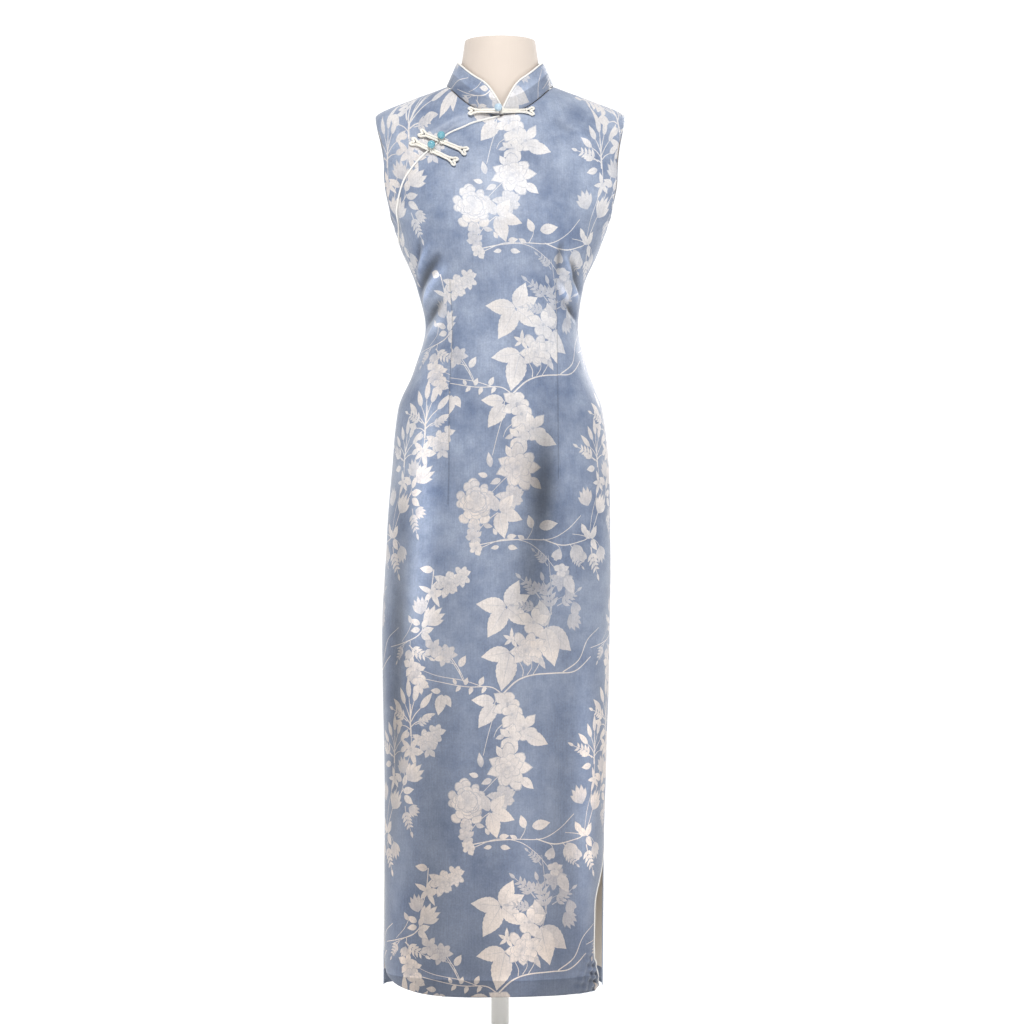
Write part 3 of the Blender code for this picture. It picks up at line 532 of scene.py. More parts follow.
FLOWERS = {
    "fern": fern, "bell": bell, "bud": bud, "peony": peony, "rose": rose, "star": star,
    "blossom": blossom, "crown": crown, "fan": fan,
}
GHOST, MID, PALE = 0.54, 0.76, 0.97  # tones
MOTIFS = (
    # kind, x, y, angle, size and tone of each, from below to above
    # ghostly sprays behind
    ("fern", 214, 318, 92, 46, GHOST),
    ("fern", 212, 345, 138, 30, GHOST),
    ("fern", 214, 352, 48, 26, GHOST),
    ("fern", 222, 330, 20, 34, GHOST),
    ("bell", 246, 336, -70, 22, GHOST),
    ("bell", 232, 352, -40, 18, GHOST),
    ("fern", 206, 384, 120, 26, GHOST),
    ("rose", 226, 366, 10, 24, GHOST),
    # the upper spray of broad leaves
    ("leaf", 152, 330, 66, 37, PALE),
    ("leaf", 153, 329, 28, 33, PALE),
    ("leaf", 151, 330, 176, 39, PALE),
    ("leaf", 151, 328, 240, 45, PALE),
    ("leaf", 153, 328, 322, 38, PALE),
    ("leaf", 206, 302, 104, 36, MID),
    ("blossom", 190, 308, 20, 33, PALE),
    ("leaf", 208, 301, 318, 47, MID),
    ("leaf", 206, 300, 285, 52, PALE),
    # the spray under it
    ("star", 160, 285, 90, 25, PALE),
    ("leaf", 158, 268, 190, 38, PALE),
    ("leaf", 158, 266, 258, 50, PALE),
    ("rose", 180, 270, 30, 40, PALE),
    ("bud", 198, 260, 300, 17, MID),
    ("blossom", 196, 272, 0, 22, PALE),
    # the left branch's small leaves and flowers
    ("leaf", 98, 223, 72, 11, PALE),
    ("leaf", 108, 221, 250, 11, PALE),
    ("leaf", 118, 223, 66, 13, PALE),
    ("leaf", 126, 221, 240, 10, PALE),
    ("leaf", 86, 224, 120, 9, PALE),
    ("leaf", 92, 222, 230, 10, PALE),
    ("leaf", 90, 248, 60, 17, PALE),
    ("rose", 70, 264, 0, 24, MID),
    ("blossom", 58, 270, 40, 15, MID),
    ("blossom", 30, 243, 15, 18, PALE),
    ("blossom", 34, 227, 50, 21, PALE),
    ("leaf", 66, 210, 260, 28, PALE),
    ("leaf", 70, 209, 300, 18, PALE),
    ("leaf", 64, 214, 175, 14, PALE),
    # leaves and round flowers below
    ("leaf", 138, 202, 178, 30, PALE),
    ("leaf", 139, 198, 236, 38, PALE),
    ("blossom", 156, 198, 80, 32, PALE),
    ("blossom", 162, 184, 20, 30, PALE),
    ("blossom", 178, 165, 50, 33, PALE),
    ("blossom", 160, 153, 10, 26, PALE),
    ("leaf", 180, 157, 336, 34, PALE),
    ("leaf", 152, 155, 200, 12, MID),
    # the double flower and its bud
    ("leaf", 150, 126, 118, 17, PALE),
    ("leaf", 162, 130, 66, 19, PALE),
    ("rose", 158, 112, 0, 50, PALE),
    ("leaf", 176, 98, 318, 22, PALE),
    ("bud", 122, 112, 100, 20, MID),
    ("leaf", 118, 100, 165, 13, PALE),
    ("leaf", 136, 96, 205, 15, MID),
    # the ruffled flower and five leaves
    ("peony", 103, 66, 0, 52, PALE),
    ("rose", 152, 73, 20, 30, MID),
    ("leaf", 133, 53, 112, 25, MID),
    ("leaf", 137, 53, 52, 27, PALE),
    ("leaf", 138, 52, 340, 31, PALE),
    ("leaf", 135, 51, 286, 35, PALE),
    ("leaf", 116, 34, 350, 12, MID),
    # small flowers that trail down to the right branch
    ("blossom", 102, 30, 10, 17, MID),
    ("blossom", 104, 17, 40, 18, MID),
    ("blossom", 107, 3, 80, 17, PALE),
    ("leaf", 134, 21, 120, 10, PALE),
    ("leaf", 148, 18, 8, 13, PALE),
    ("leaf", 138, 5, 190, 11, PALE),
    ("leaf", 150, 5, 350, 13, PALE),
    ("leaf", 172, 15, 150, 11, PALE),
    ("leaf", 182, 30, 108, 18, PALE),
    ("leaf", 192, 32, 10, 25, PALE),
    ("bell", 222, 3, 250, 20, MID),
    ("fern", 240, -4, 300, 24, MID),
    ("bell", 256, 1, 280, 20, MID),
    ("fern", 198, 340, 122, 38, GHOST),
    ("fern", 196, 326, 158, 32, GHOST),
    ("crown", 240, 318, -50, 24, GHOST),
    # the side column, upper
    ("leaf", 49, 378, 172, 18, PALE),
    ("star", 49, 348, 300, 36, PALE),
    ("leaf", 50, 344, 15, 15, PALE),
    ("rose", 72, 361, 0, 30, PALE),
    ("rose", 89, 370, 30, 22, PALE),
    ("crown", 36, 318, 106, 24, MID),
    ("crown", 42, 304, 48, 30, PALE),
    ("leaf", 34, 305, 160, 16, PALE),
    ("leaf", 34, 298, 190, 15, PALE),
    ("leaf", 38, 300, 66, 14, PALE),
    ("leaf", 37, 294, 20, 17, PALE),
    ("leaf", 36, 292, -32, 17, PALE),
    ("leaf", 20, 306, 120, 12, MID),
    ("fern", 16, 276, -42, 34, PALE),
    ("fern", 6, 276, 222, 26, MID),
    ("crown", 17, 270, -102, 16, MID),
    ("blossom", 53, 272, 0, 22, MID),
    ("leaf", 68, 260, 192, 14, PALE),
    ("blossom", 20, 247, 20, 22, PALE),
    ("blossom", 25, 232, 50, 18, MID),
    ("blossom", 33, 223, 10, 20, PALE),
    # the side column, lower
    ("fan", 20, 158, 92, 62, PALE),
    ("fern", 14, 172, 142, 34, PALE),
    ("fern", 27, 168, 14, 26, MID),
    ("leaf", 18, 156, 200, 16, PALE),
    ("rose", 41, 146, 0, 26, PALE),
    ("rose", 56, 155, 24, 24, PALE),
    ("blossom", 48, 136, 30, 20, MID),
    ("star", 20, 134, 290, 40, PALE),
    ("leaf", 24, 130, 4, 16, PALE),
    ("crown", 10, 100, 112, 24, MID),
    ("crown", 14, 92, 44, 30, PALE),
    ("leaf", 4, 90, 150, 18, PALE),
    ("leaf", 8, 84, 72, 16, PALE),
    ("leaf", 8, 76, 12, 18, PALE),
    ("leaf", 10, 70, -34, 18, PALE),
    ("crown", 18, 54, -18, 18, MID),
    ("fern", 12, 56, -86, 34, MID),
    ("fan", 285, 118, 88, 52, PALE),
    ("fern", 280, 122, 136, 34, PALE),
    ("leaf", 278, 112, 190, 16, PALE),
    ("star", 286, 92, 250, 30, PALE),
    ("crown", 264, 60, 112, 26, MID),
    ("crown", 284, 50, 62, 28, PALE),
    ("leaf", 270, 16, 134, 18, PALE),
    ("leaf", 272, 16, 62, 19, PALE),
    ("leaf", 272, 14, -50, 18, PALE),
    ("leaf", 262, 22, 120, 16, PALE),
    ("crown", 290, 6, -74, 24, MID),
    ("fern", 272, 4, -82, 38, PALE),
    ("crown", 243, 8, -66, 24, MID),
    ("blossom", 225, 378, 20, 18, MID),
    ("leaf", 232, 370, -60, 28, MID),
)
STALKS = (
    # width, tone and points of each, under all the motifs
    # the main branches, from the left column through the middle to the right
    (2.2, PALE, ((148, 210), (168, 229), (190, 237), (222, 239), (250, 241), (276, 260))),
    (1.5, PALE, ((232, 240), (256, 256), (270, 283), (292, 299))),
    (1.5, PALE, ((148, 212), (132, 221), (100, 221), (62, 227), (40, 231))),
    (1.1, PALE, ((128, 219), (98, 229), (60, 235), (36, 243))),
    (1.2, PALE, ((98, 225), (88, 243), (76, 260))),
    (1.0, PALE, ((92, 237), (86, 250), (72, 254))),
    (1.2, PALE, ((176, 235), (176, 245), (168, 260))),
    (1.0, PALE, ((182, 237), (188, 248), (186, 262))),
    (1.0, PALE, ((190, 238), (198, 252), (200, 266))),
    (1.3, PALE, ((207, 301), (204, 287), (198, 272))),
    (1.4, GHOST, ((209, 301), (214, 330), (210, 372), (206, 398))),
    (0.9, GHOST, ((214, 334), (230, 342), (246, 338))),
    (1.2, PALE, ((146, 208), (139, 200), (138, 186), (130, 155), (124, 128))),
    (1.0, PALE, ((150, 171), (142, 163), (138, 153))),
    (1.2, MID, ((148, 103), (136, 91), (120, 73))),
    (1.1, PALE, ((134, 51), (124, 43), (112, 30), (106, 15), (108, -2))),
    (1.5, PALE, ((108, 7), (140, 13), (172, 15), (206, 15), (232, 28), (252, 47))),
    (1.1, PALE, ((112, 3), (144, 15), (176, 11), (200, -6), (214, -22))),
    (1.6, PALE, ((198, 15), (224, 7), (250, 11), (268, 19), (282, 47), (294, 82), (304, 112))),
    (0.9, PALE, ((236, 9), (248, -4), (258, 1))),
    (0.9, PALE, ((210, 11), (218, 7), (222, 3))),
    (0.9, PALE, ((176, 15), (182, 26), (183, 36))),
    # the side column
    (1.3, PALE, ((50, 379), (49, 362), (46, 342), (40, 318), (36, 294), (16, 282), (-10, 270))),
    (1.6, PALE, ((37, 295), (26, 286), (2, 278), (-24, 272))),
    (0.9, PALE, ((22, 308), (14, 294), (0, 280))),
    (0.9, PALE, ((49, 350), (58, 352), (70, 358))),
    (1.0, PALE, ((18, 282), (20, 272), (34, 254))),
    (1.1, PALE, ((76, 264), (90, 244), (99, 226))),
    (1.2, PALE, ((20, 196), (20, 170), (21, 150), (18, 126), (10, 100), (6, 80), (-8, 52))),
    (1.4, PALE, ((9, 80), (-2, 68), (-18, 60))),
    (0.9, PALE, ((20, 150), (30, 150), (42, 150))),
    (1.2, PALE, ((285, 150), (286, 118), (286, 96), (280, 74), (272, 50), (268, 20))),
    (1.0, PALE, ((268, 18), (282, 12), (290, 4))),
    (1.2, PALE, ((270, 16), (256, 20), (240, 22))),
)
REPEAT_WIDTH, REPEAT_HEIGHT = 300.0, 405.0  # of the print as drawn, in millimetres
PRINT_SCALE = 1.025 / 1000  # to the cloth's metres


def draw_repeat():
    """The repeat. Small leaves have no veins, and the smallest no teeth."""
    draw = Print(REPEAT_WIDTH, REPEAT_HEIGHT)
    for width, tone, points in STALKS:
        stem(draw, points, width, tone)
    for kind, x, y, angle, size, tone in MOTIFS:
        if kind == "leaf":
            leaf(draw, x, y, angle, size, None, tone, size > 15, size > 12)
        else:
            FLOWERS[kind](draw, x, y, angle, size, tone)
    return draw


def laid_print(draw, low, high, at):
    """The repeat's outlines laid all over a box of the flat cut, in metres. at is where
    the repeat's corner falls."""
    found = []
    size = np.array([draw.width, draw.height]) * PRINT_SCALE
    first = np.floor((low - at) / size).astype(int) - 1
    last = np.ceil((high - at) / size).astype(int) + 1
    boxes = [(s[0].min(axis=0) * PRINT_SCALE, s[0].max(axis=0) * PRINT_SCALE) for s in draw.shapes]
    for n, (points, tone, tone_end, start, end) in enumerate(draw.shapes):
        for i in range(first[0], last[0]):
            for j in range(first[1], last[1]):
                offset = at + size * (i, j)
                if (boxes[n][1] + offset < low).any() or (boxes[n][0] + offset > high).any():
                    continue
                found.append((
                    n, points * PRINT_SCALE + offset, tone, tone_end,
                    start * PRINT_SCALE + offset, end * PRINT_SCALE + offset,
                ))
    found.sort(key=lambda shape: shape[0])
    return found


# ================================================================ the flat cut to mesh
def along_outline(points, step):
    """A closed outline with points no more than step apart."""
    out = []
    for a, b in zip(points, np.roll(points, -1, axis=0)):
        count = max(1, int(math.ceil(np.linalg.norm(b - a) / step)))
        out += [a + (b - a) * k / count for k in range(count)]
    return np.array(out)


def distance_to(outlines, points, step=0.0004):
    """Each point's distance to the nearest of the outlines' edges."""
    samples = np.vstack([along_outline(outline, step) for outline in outlines])
    tree = kdtree.KDTree(len(samples))
    for k, (x, y) in enumerate(samples.tolist()):
        tree.insert((x, y, 0.0), k)
    tree.balance()
    return np.array([tree.find((x, y, 0.0))[2] for x, y in points.tolist()])


def hex_grid(low, high, step):
    rows = np.arange(low[1], high[1], step * 0.866)
    columns = np.arange(low[0], high[0], step)
    x = columns[None, :] + (np.arange(len(rows)) % 2)[:, None] * step / 2
    return np.column_stack([x.ravel(), np.repeat(rows, len(columns))])


def inset_rows(outline, depths):
    """Points just inside a counter-clockwise outline."""
    along = np.roll(outline, -1, axis=0) - np.roll(outline, 1, axis=0)
    along /= np.maximum(np.linalg.norm(along, axis=1), 1e-12)[:, None]
    inward = np.column_stack([-along[:, 1], along[:, 0]])
    return np.vstack([outline + inward * depth for depth in depths])


def triangulated(outline, holes, extra, shapes):
    """Triangles of the cut that keep every outline, and what each lies in."""
    points = [outline, *holes, *(s[1] for s in shapes)]
    faces, start = [], 0
    for group in points:
        faces.append(list(range(start, start + len(group))))
        start += len(group)
    flat = [Vector(p) for p in np.vstack([*points, extra])]
    verts, _, tris, _, _, inside = geometry.delaunay_2d_cdt(flat, [], faces, 0, 2e-6, True)
    outside = set(range(1, len(holes) + 1))
    kept, owner = [], []
    for tri, ids in zip(tris, inside):
        if 0 in ids and not outside.intersection(ids):
            kept.append(tri)
            owner.append(max(ids) - len(holes) - 1)
    xy = np.array([v[:] for v in verts])
    tris = np.array(kept)
    used = np.unique(tris)
    index = np.full(len(xy), -1)
    index[used] = np.arange(len(used))
    return xy[used], index[tris], np.array(owner)


def boundary_loops(tris):
    """The open edges of a mesh as closed loops of points, with the mesh on the left."""
    ends = np.concatenate([tris[:, [0, 1]], tris[:, [1, 2]], tris[:, [2, 0]]])
    known = {(a, b) for a, b in ends.tolist()}
    follow = {a: b for a, b in known if (b, a) not in known}
    loops = []
    while follow:
        start, after = next(iter(follow.items()))
        loop = [start]
        while after != start:
            loop.append(after)
            after = follow.pop(after)
        follow.pop(start)
        loops.append(loop)
    return sorted(loops, key=len, reverse=True)


def bending(relief, a, l, step=0.0045):
    """How far the folds leave a straight line within a step."""
    middle = 2 * relief(a, l)
    across = relief(a + step, l) + relief(a - step, l) - middle
    return np.abs(across) + np.abs(relief(a, l + step) + relief(a, l - step) - middle)


def edge_dip(edge):
    """How far a face sinks near its edge, at a distance from it."""
    return EDGE_DIP * np.exp(-((edge / EDGE_DIP_REACH) ** 2))


def make_cloth(name, outline, holes, to_surface, place, relief, out, thickness, draw, at, mats,
               grid=FINE_GRID, inner_grid=COARSE_GRID):
    """A cloth shell from its flat cut: a printed outer face, a plain inner face and the
    edge between them. place(a, l) is the worn surface and to_surface(xy) leads there."""
    outline = along_outline(outline, EDGE_STEP)
    holes = [along_outline(h, EDGE_STEP) for h in holes]
    low, high = outline.min(axis=0), outline.max(axis=0)
    shapes = laid_print(draw, low, high, at)
    insets = [inset_rows(ring, EDGE_INSETS) for ring in [outline, *(h[::-1] for h in holes)]]
    close = hex_grid(low, high, FOLD_GRID)
    close = close[bending(relief, *to_surface(close)) > FOLD_BEND]
    xy, tris, owner = triangulated(
        outline, holes, np.vstack([hex_grid(low, high, grid), close, *insets]), shapes
    )
    edge = distance_to([outline, *holes], xy)
    a, l = to_surface(xy)
    normals = surface_normals(place, a, l, out)
    points = place(a, l) - normals * edge_dip(edge)[:, None]

    loops = boundary_loops(tris)
    rings = [xy[loop] for loop in loops]
    inner_xy, inner_tris, _ = triangulated(
        rings[0], [r[::-1] for r in rings[1:]],
        np.vstack([hex_grid(low, high, inner_grid), close]), []
    )
    ia, il = to_surface(inner_xy)
    inner_normals = surface_normals(place, ia, il, out)
    inner_edge = distance_to([outline, *holes], inner_xy)
    inner_points = place(ia, il) - inner_normals * (thickness + edge_dip(inner_edge))[:, None]
    inner_at = {tuple(np.round(p, 6)): k for k, p in enumerate(inner_xy)}

    rim = []
    base = len(xy)
    for loop in loops:
        for p, q in zip(loop, loop[1:] + loop[:1]):
            ip, iq = (inner_at.get(tuple(np.round(xy[k], 6))) for k in (p, q))
            if ip is not None and iq is not None:
                rim.append((q, p, base + ip, base + iq))
    flip = out < 0
    outer_faces = tris[:, ::-1] if flip else tris
    inner_faces = (inner_tris if flip else inner_tris[:, ::-1]) + base
    rim_faces = [face[::-1] if flip else face for face in rim]
    faces = [*outer_faces.tolist(), *inner_faces.tolist(), *rim_faces]

    mesh = bpy.data.meshes.new(name)
    mesh.from_pydata(np.vstack([points, inner_points]).tolist(), [], faces)
    for m in mats:
        mesh.materials.append(m)
    sides = np.concatenate([
        np.zeros(len(tris), int), np.ones(len(inner_tris), int), np.full(len(rim), 2)
    ])
    mesh.polygons.foreach_set("material_index", sides)
    mesh.polygons.foreach_set("use_smooth", np.ones(len(faces), bool))

    corner_points = np.zeros(len(mesh.loops), int)
    mesh.loops.foreach_get("vertex_index", corner_points)
    tone = np.zeros(len(mesh.loops), np.float32)
    t0, t1 = (np.array([s[k] for s in shapes]) for k in (2, 3))
    o, e = (np.array([s[k] for s in shapes]) for k in (4, 5))
    printed = np.repeat(owner, 3)
    inked = np.flatnonzero(printed >= 0)
    which = printed[inked]
    corner = xy[corner_points[inked]]
    axis = e[which] - o[which]
    t = ((corner - o[which]) * axis).sum(axis=1) / (axis * axis).sum(axis=1)
    tone[inked] = t0[which] + (t1 - t0)[which] * np.clip(t, 0, 1)
    all_xy = np.vstack([xy, inner_xy])
    # The folds' relief as a share of DEEPEST, kept as the fold attribute, from which printed_silk
    # paints shade into the troughs and highlight onto the ridges.
    relief_for_fold_shade = relief(np.concatenate([a, ia]), np.concatenate([l, il])) / DEEPEST
    for key, domain, values in (
        ("tone", "CORNER", tone), ("edge", "POINT", np.concatenate([edge, inner_edge])),
        ("fold", "POINT", relief_for_fold_shade), ("above_hem", "POINT", all_xy[:, 1] - low[1]),
    ):
        layer = mesh.attributes.new(key, "FLOAT", domain)
        layer.data.foreach_set("value", values.astype(np.float32))

    # The outer face takes the left half of the map, and the inner face the right half.
    span = (high - low).max() * 1.04
    flat_uv = (all_xy - low) / span * 0.49 + 0.005
    flat_uv[len(xy):, 0] += 0.5
    uv = mesh.uv_layers.new(name="OFBake")
    uv.data.foreach_set("uv", flat_uv[corner_points].astype(np.float32).ravel())
    cloth_uv = mesh.uv_layers.new(name="cloth")
    cloth_uv.data.foreach_set("uv", all_xy[corner_points].astype(np.float32).ravel())

    all_normals = np.vstack([normals, -inner_normals])[corner_points]
    rim_start = 3 * (len(tris) + len(inner_tris))
    mesh.update()
    for k, face in enumerate(rim_faces):
        face_normal = mesh.polygons[len(tris) + len(inner_tris) + k].normal
        all_normals[rim_start + 4 * k : rim_start + 4 * k + 4] = face_normal
    mesh.normals_split_custom_set(all_normals.tolist())
    obj = bpy.data.objects.new(name, mesh)
    bpy.context.scene.collection.objects.link(obj)
    area = polygon_area(outline) - sum(abs(polygon_area(h)) for h in holes)
    return obj, tuple(float(v) for v in high - low), float(area)


def polygon_area(points):
    x, y = points.T
    return 0.5 * float(np.sum(x * np.roll(y, -1) - np.roll(x, -1) * y))


# ================================================================ panels
front_half, back_half = Half(DRESS_RINGS), Half(DRESS_RINGS, back=True)


def armhole_turn(level):
    middle = (UNDERARM_LEVEL + SHOULDER_LEVEL) / 2
    half = (SHOULDER_LEVEL - UNDERARM_LEVEL) / 2
    return np.sqrt(np.clip(1 - ((level - middle) / half) ** 2, 0, 1))


def armhole_levels(count):
    middle = (UNDERARM_LEVEL + SHOULDER_LEVEL) / 2
    half = (SHOULDER_LEVEL - UNDERARM_LEVEL) / 2
    return middle - half * np.cos(np.linspace(0, np.pi, count))


def taken_in(darts, a, level):
    """Flat distance round from the worn one: darts further in add their intake."""
    flat = np.array(a, float)
    for dart in darts:
        flat += np.where(a * np.sign(dart.around) > abs(dart.around) - 1e-9,
                         np.sign(dart.around) * dart_width(dart, level), 0.0)
    return flat


def dart_width(dart, level):
    up = np.clip((level - dart.low) / (dart.widest - dart.low), 0, 1)
    down = np.clip((dart.high - level) / (dart.high - dart.widest), 0, 1)
    return dart.intake * np.minimum(up, down)


def slant(level):
    """How far the cloth's straight grain stands to the wearer's left on the front."""
    return read_table(FRONT_SLANT, level)[:, 1]


def panel_maps(half, darts, sway=lambda level: 0.0):
    """How a panel's flat cut and its worn surface go over into each other."""
    def to_flat(a, level):
        return np.column_stack([taken_in(darts, a, level) - sway(level), half.height(level)])

    def to_surface(xy):
        level = half.level(xy[:, 1])
        a = xy[:, 0] + sway(level)
        for dart in darts:
            side, width = np.sign(dart.around), dart_width(dart, level)
            past = a * side - abs(dart.around)
            a -= side * np.clip(past, 0, width)
        return a, level

    return to_flat, to_surface


def dart_holes(half, darts, sway=lambda level: 0.0):
    holes = []
    for dart in darts:
        side = np.sign(dart.around)
        levels = np.concatenate([
            np.linspace(dart.low, dart.widest, 24), np.linspace(dart.widest, dart.high, 10)[1:]
        ])
        width = dart_width(dart, levels)
        inner = np.column_stack([
            np.full(len(levels), dart.around) - sway(levels), half.height(levels),
        ])
        outer = inner + np.column_stack([side * width, np.zeros(len(levels))])
        ring = np.vstack([inner, outer[1:-1][::-1]])
        holes.append(ring if polygon_area(ring) > 0 else ring[::-1])
    return holes


def eased(t):
    t = np.clip(t, 0, 1)
    return t * t * (3 - 2 * t)


def slit_share(level):
    """0 above the slits, 1 along most of them and less again at the hem."""
    below = (SLIT_TOP - level) / (SLIT_TOP - HEM_LEVEL)
    return eased(below / 0.45) - SLIT_CLOSES * eased((below - 0.72) / 0.28)


def rounded_corner(corner, inward, up, size, steps=14):
    """A quarter of an ellipse in place of a lower corner, from its hem end."""
    width, height = size
    turn = np.linspace(0, np.pi / 2, steps)[:, None]
    return corner + inward * width * (1 - np.sin(turn)) + up * height * (1 - np.cos(turn))


def armhole_and_shoulder(half, to_flat, cut_in, side=1):
    """The outline from the underarm round the armhole and up the shoulder to the neck."""
    arm = armhole_levels(40)[1:-1]
    armhole = half.around_at(90 - cut_in * armhole_turn(arm), arm) - SEAM_TRIM
    shoulder = np.linspace(SHOULDER_LEVEL, NECK_LEVEL, 16)
    top = half.reach_at(shoulder) - SHOULDER_TRIM
    return np.vstack([to_flat(side * armhole, arm), to_flat(side * top, shoulder)])


def neck_line(half, to_flat, start, end, count):
    """The neck seam between two angles, without its ends."""
    degrees = np.linspace(start, end, count)[1:-1]
    level = np.full(len(degrees), NECK_LEVEL)
    return to_flat(half.around_at(degrees, level), level)


def front_outline(to_flat):
    half = front_half
    slit = np.linspace(HEM_LEVEL, SLIT_TOP - 0.0005, 30)
    side = np.linspace(SLIT_TOP, UNDERARM_LEVEL, 120)

    def slit_edge(open_by, sign):
        a = half.reach_at(slit) - SEAM_TRIM - SLIT_PIPING_ROOM - open_by * slit_share(slit)
        return to_flat(sign * a, slit)

    left = slit_edge(SLIT_OPEN_LEFT, 1)
    right = slit_edge(SLIT_OPEN_RIGHT, -1)
    seam = to_flat(half.reach_at(side) - SEAM_TRIM, side)
    upper = armhole_and_shoulder(half, to_flat, ARMHOLE_FRONT_DEG)
    neck = neck_line(half, to_flat, 90, FRONT_CENTRE_DEG, 40)
    flap = np.linspace(NECK_LEVEL, OPENING_BOTTOM, 90)
    degrees = read_table(OPENING_EDGE, flap)[:, 1]
    opening = to_flat(half.around_at(degrees, flap) + SEAM_TRIM, flap)
    under = np.linspace(OPENING_BOTTOM, SLIT_TOP, 110)[1:]
    right_seam = to_flat(-(half.reach_at(under) - SEAM_TRIM), under)
    up, inward = np.array([0.0, 1.0]), np.array([1.0, 0.0])
    corner_left = rounded_corner(left[0], -inward, up, HEM_CORNER_LEFT)
    corner_right = rounded_corner(right[0], inward, up, HEM_CORNER_RIGHT)[::-1]
    left = left[left[:, 1] > corner_left[-1, 1] + 0.002]
    right = right[right[:, 1] > corner_right[0, 1] + 0.002]
    return np.vstack([
        corner_left, left, seam, upper, neck, opening, right_seam, right[::-1], corner_right,
    ])


def back_outline(to_flat):
    half = back_half
    level = np.linspace(HEM_LEVEL, UNDERARM_LEVEL, 150)
    seam = to_flat(half.reach_at(level) - SEAM_TRIM, level)
    left = np.vstack([seam, armhole_and_shoulder(half, to_flat, ARMHOLE_BACK_DEG)])
    neck = neck_line(half, to_flat, 90, -90, 70)
    return np.vstack([left, neck, (left * (-1, 1))[::-1]])


def underlap_outline(to_flat):
    half = front_half
    level = np.linspace(UNDERLAP_BOTTOM, UNDERARM_LEVEL, 14)
    seam = to_flat(-(half.reach_at(level) - SEAM_TRIM), level)
    outer = np.vstack([seam, armhole_and_shoulder(half, to_flat, ARMHOLE_FRONT_DEG, -1)])
    flap = np.linspace(NECK_LEVEL, UNDERLAP_BOTTOM, 80)
    degrees = read_table(OPENING_EDGE, flap)[:, 1] + UNDERLAP_HIDDEN_DEG
    hidden = to_flat(half.around_at(degrees, flap), flap)
    neck = neck_line(half, to_flat, -90, degrees[0], 36)
    return np.vstack([outer, neck, hidden])[::-1]


def front_place(a, level):
    return worn(front_half, a, level, front_relief(a, level))


def back_place(a, level):
    return worn(back_half, a, level, back_relief(a, level))


def back_relief(a, level):
    return fold_relief(BACK_FOLDS, a, level) + drape(a, level, 2.0)


def front_relief(a, level):
    """The front's folds, its drape and its crumpled left hem corner."""
    across, up = (a - CRUMPLE_AT[0]) / CRUMPLE_SIZE[0], (level - CRUMPLE_AT[1]) / CRUMPLE_SIZE[1]
    near = np.exp(-(across ** 2) - up ** 2)
    crumple = np.sin(330 * a + 210 * level) * np.sin(390 * level - 150 * a) + 0.5 * np.sin(520 * level)
    return fold_relief(FRONT_FOLDS, a, level) + drape(a, level, 0.0) + CRUMPLE_DEPTH * near * crumple


def drape(a, level, phase):
    """Slow, shallow waves of the hanging skirt, and still shallower ones above."""
    skirt = np.clip((0.85 - level) / 0.6, 0, 1)
    waves = 0.0013 * np.sin(31 * a + 2.2 * level + phase) * skirt
    waves += 0.0006 * np.sin(67 * a - 5.0 * level + 1.7 * phase) * skirt
    return waves + 0.0004 * np.sin(55 * a + 40 * level + phase) * (1 - skirt)


def underlap_place(a, level):
    """The underlap dips under the flap."""
    flap = front_half.around_at(read_table(OPENING_EDGE, level)[:, 1], level)
    under = eased(1 - (flap - 0.006 - a) / 0.024)
    return worn(front_half, a, level, front_relief(a, level) - UNDERLAP_DIP * under)


def worn(half, a, level, relief):
    normal = surface_normals(half.smooth, a, level, half.out)
    return half.smooth(a, level) + normal * relief[:, None]


# ================================================================ the collar
def ring_points(row, degrees):
    """Points round one ring of a table."""
    level, front_z, back_z, half, front, back, full, shift, seam = row
    s, c = np.sin(np.radians(degrees)), np.cos(np.radians(degrees))
    ahead = c >= 0
    depth, middle_z = np.where(ahead, front, back), np.where(ahead, front_z, back_z)
    return np.column_stack([
        shift + np.sign(s) * half * np.abs(s) ** (2 / full),
        seam - np.sign(c) * depth * np.abs(c) ** (2 / full),
        level + (middle_z - level) * c * c,
    ])


class Collar:
    """The stand collar: a distance from its middle at the back, and a height."""

    def __init__(self):
        degrees = np.linspace(FRONT_CENTRE_DEG + 0.9, FRONT_CENTRE_DEG + 359.1, 721)
        self.base = ring_points(DRESS_RINGS[-1], degrees) + (0, 0, COLLAR_RISE)
        self.top = ring_points(COLLAR_TOP, degrees) + (0, 0, COLLAR_RISE)
        step = np.linalg.norm(np.diff(self.base, axis=0), axis=1)
        self.run = np.concatenate([[0], np.cumsum(step)])
        self.half = self.run[-1] / 2
        self.run = self.run - self.half

    def height_at(self, a):
        from_end = self.half - np.abs(a)
        bend = np.clip(1 - from_end / COLLAR_CURVE, 0, 1) ** COLLAR_CURVE_POWER
        return COLLAR_END_HEIGHT + (COLLAR_HEIGHT - COLLAR_END_HEIGHT) * (1 - bend)

    def place(self, a, h):
        low, high = (
            np.column_stack([np.interp(a, self.run, line[:, k]) for k in range(3)])
            for line in (self.base, self.top)
        )
        return low + (high - low) * (h / COLLAR_HEIGHT)[:, None]

    def outline(self):
        a = np.linspace(-self.half, self.half, 160)
        bottom = np.column_stack([a, np.zeros(len(a))])
        top = np.column_stack([a, self.height_at(a)])[::-1]
        return np.vstack([bottom, top])


# ================================================================ materials
def new_material(name):
    made = bpy.data.materials.new(name)
    made.use_nodes = True
    nodes = made.node_tree.nodes
    return made, nodes, made.node_tree.links, nodes["Principled BSDF"]


def node(nodes, kind, **settings):
    made = nodes.new(kind)
    for key, value in settings.items():
        if key.startswith("in_"):
            made.inputs[key[3:].replace("_", " ")].default_value = value
        else:
            setattr(made, key, value)
    return made


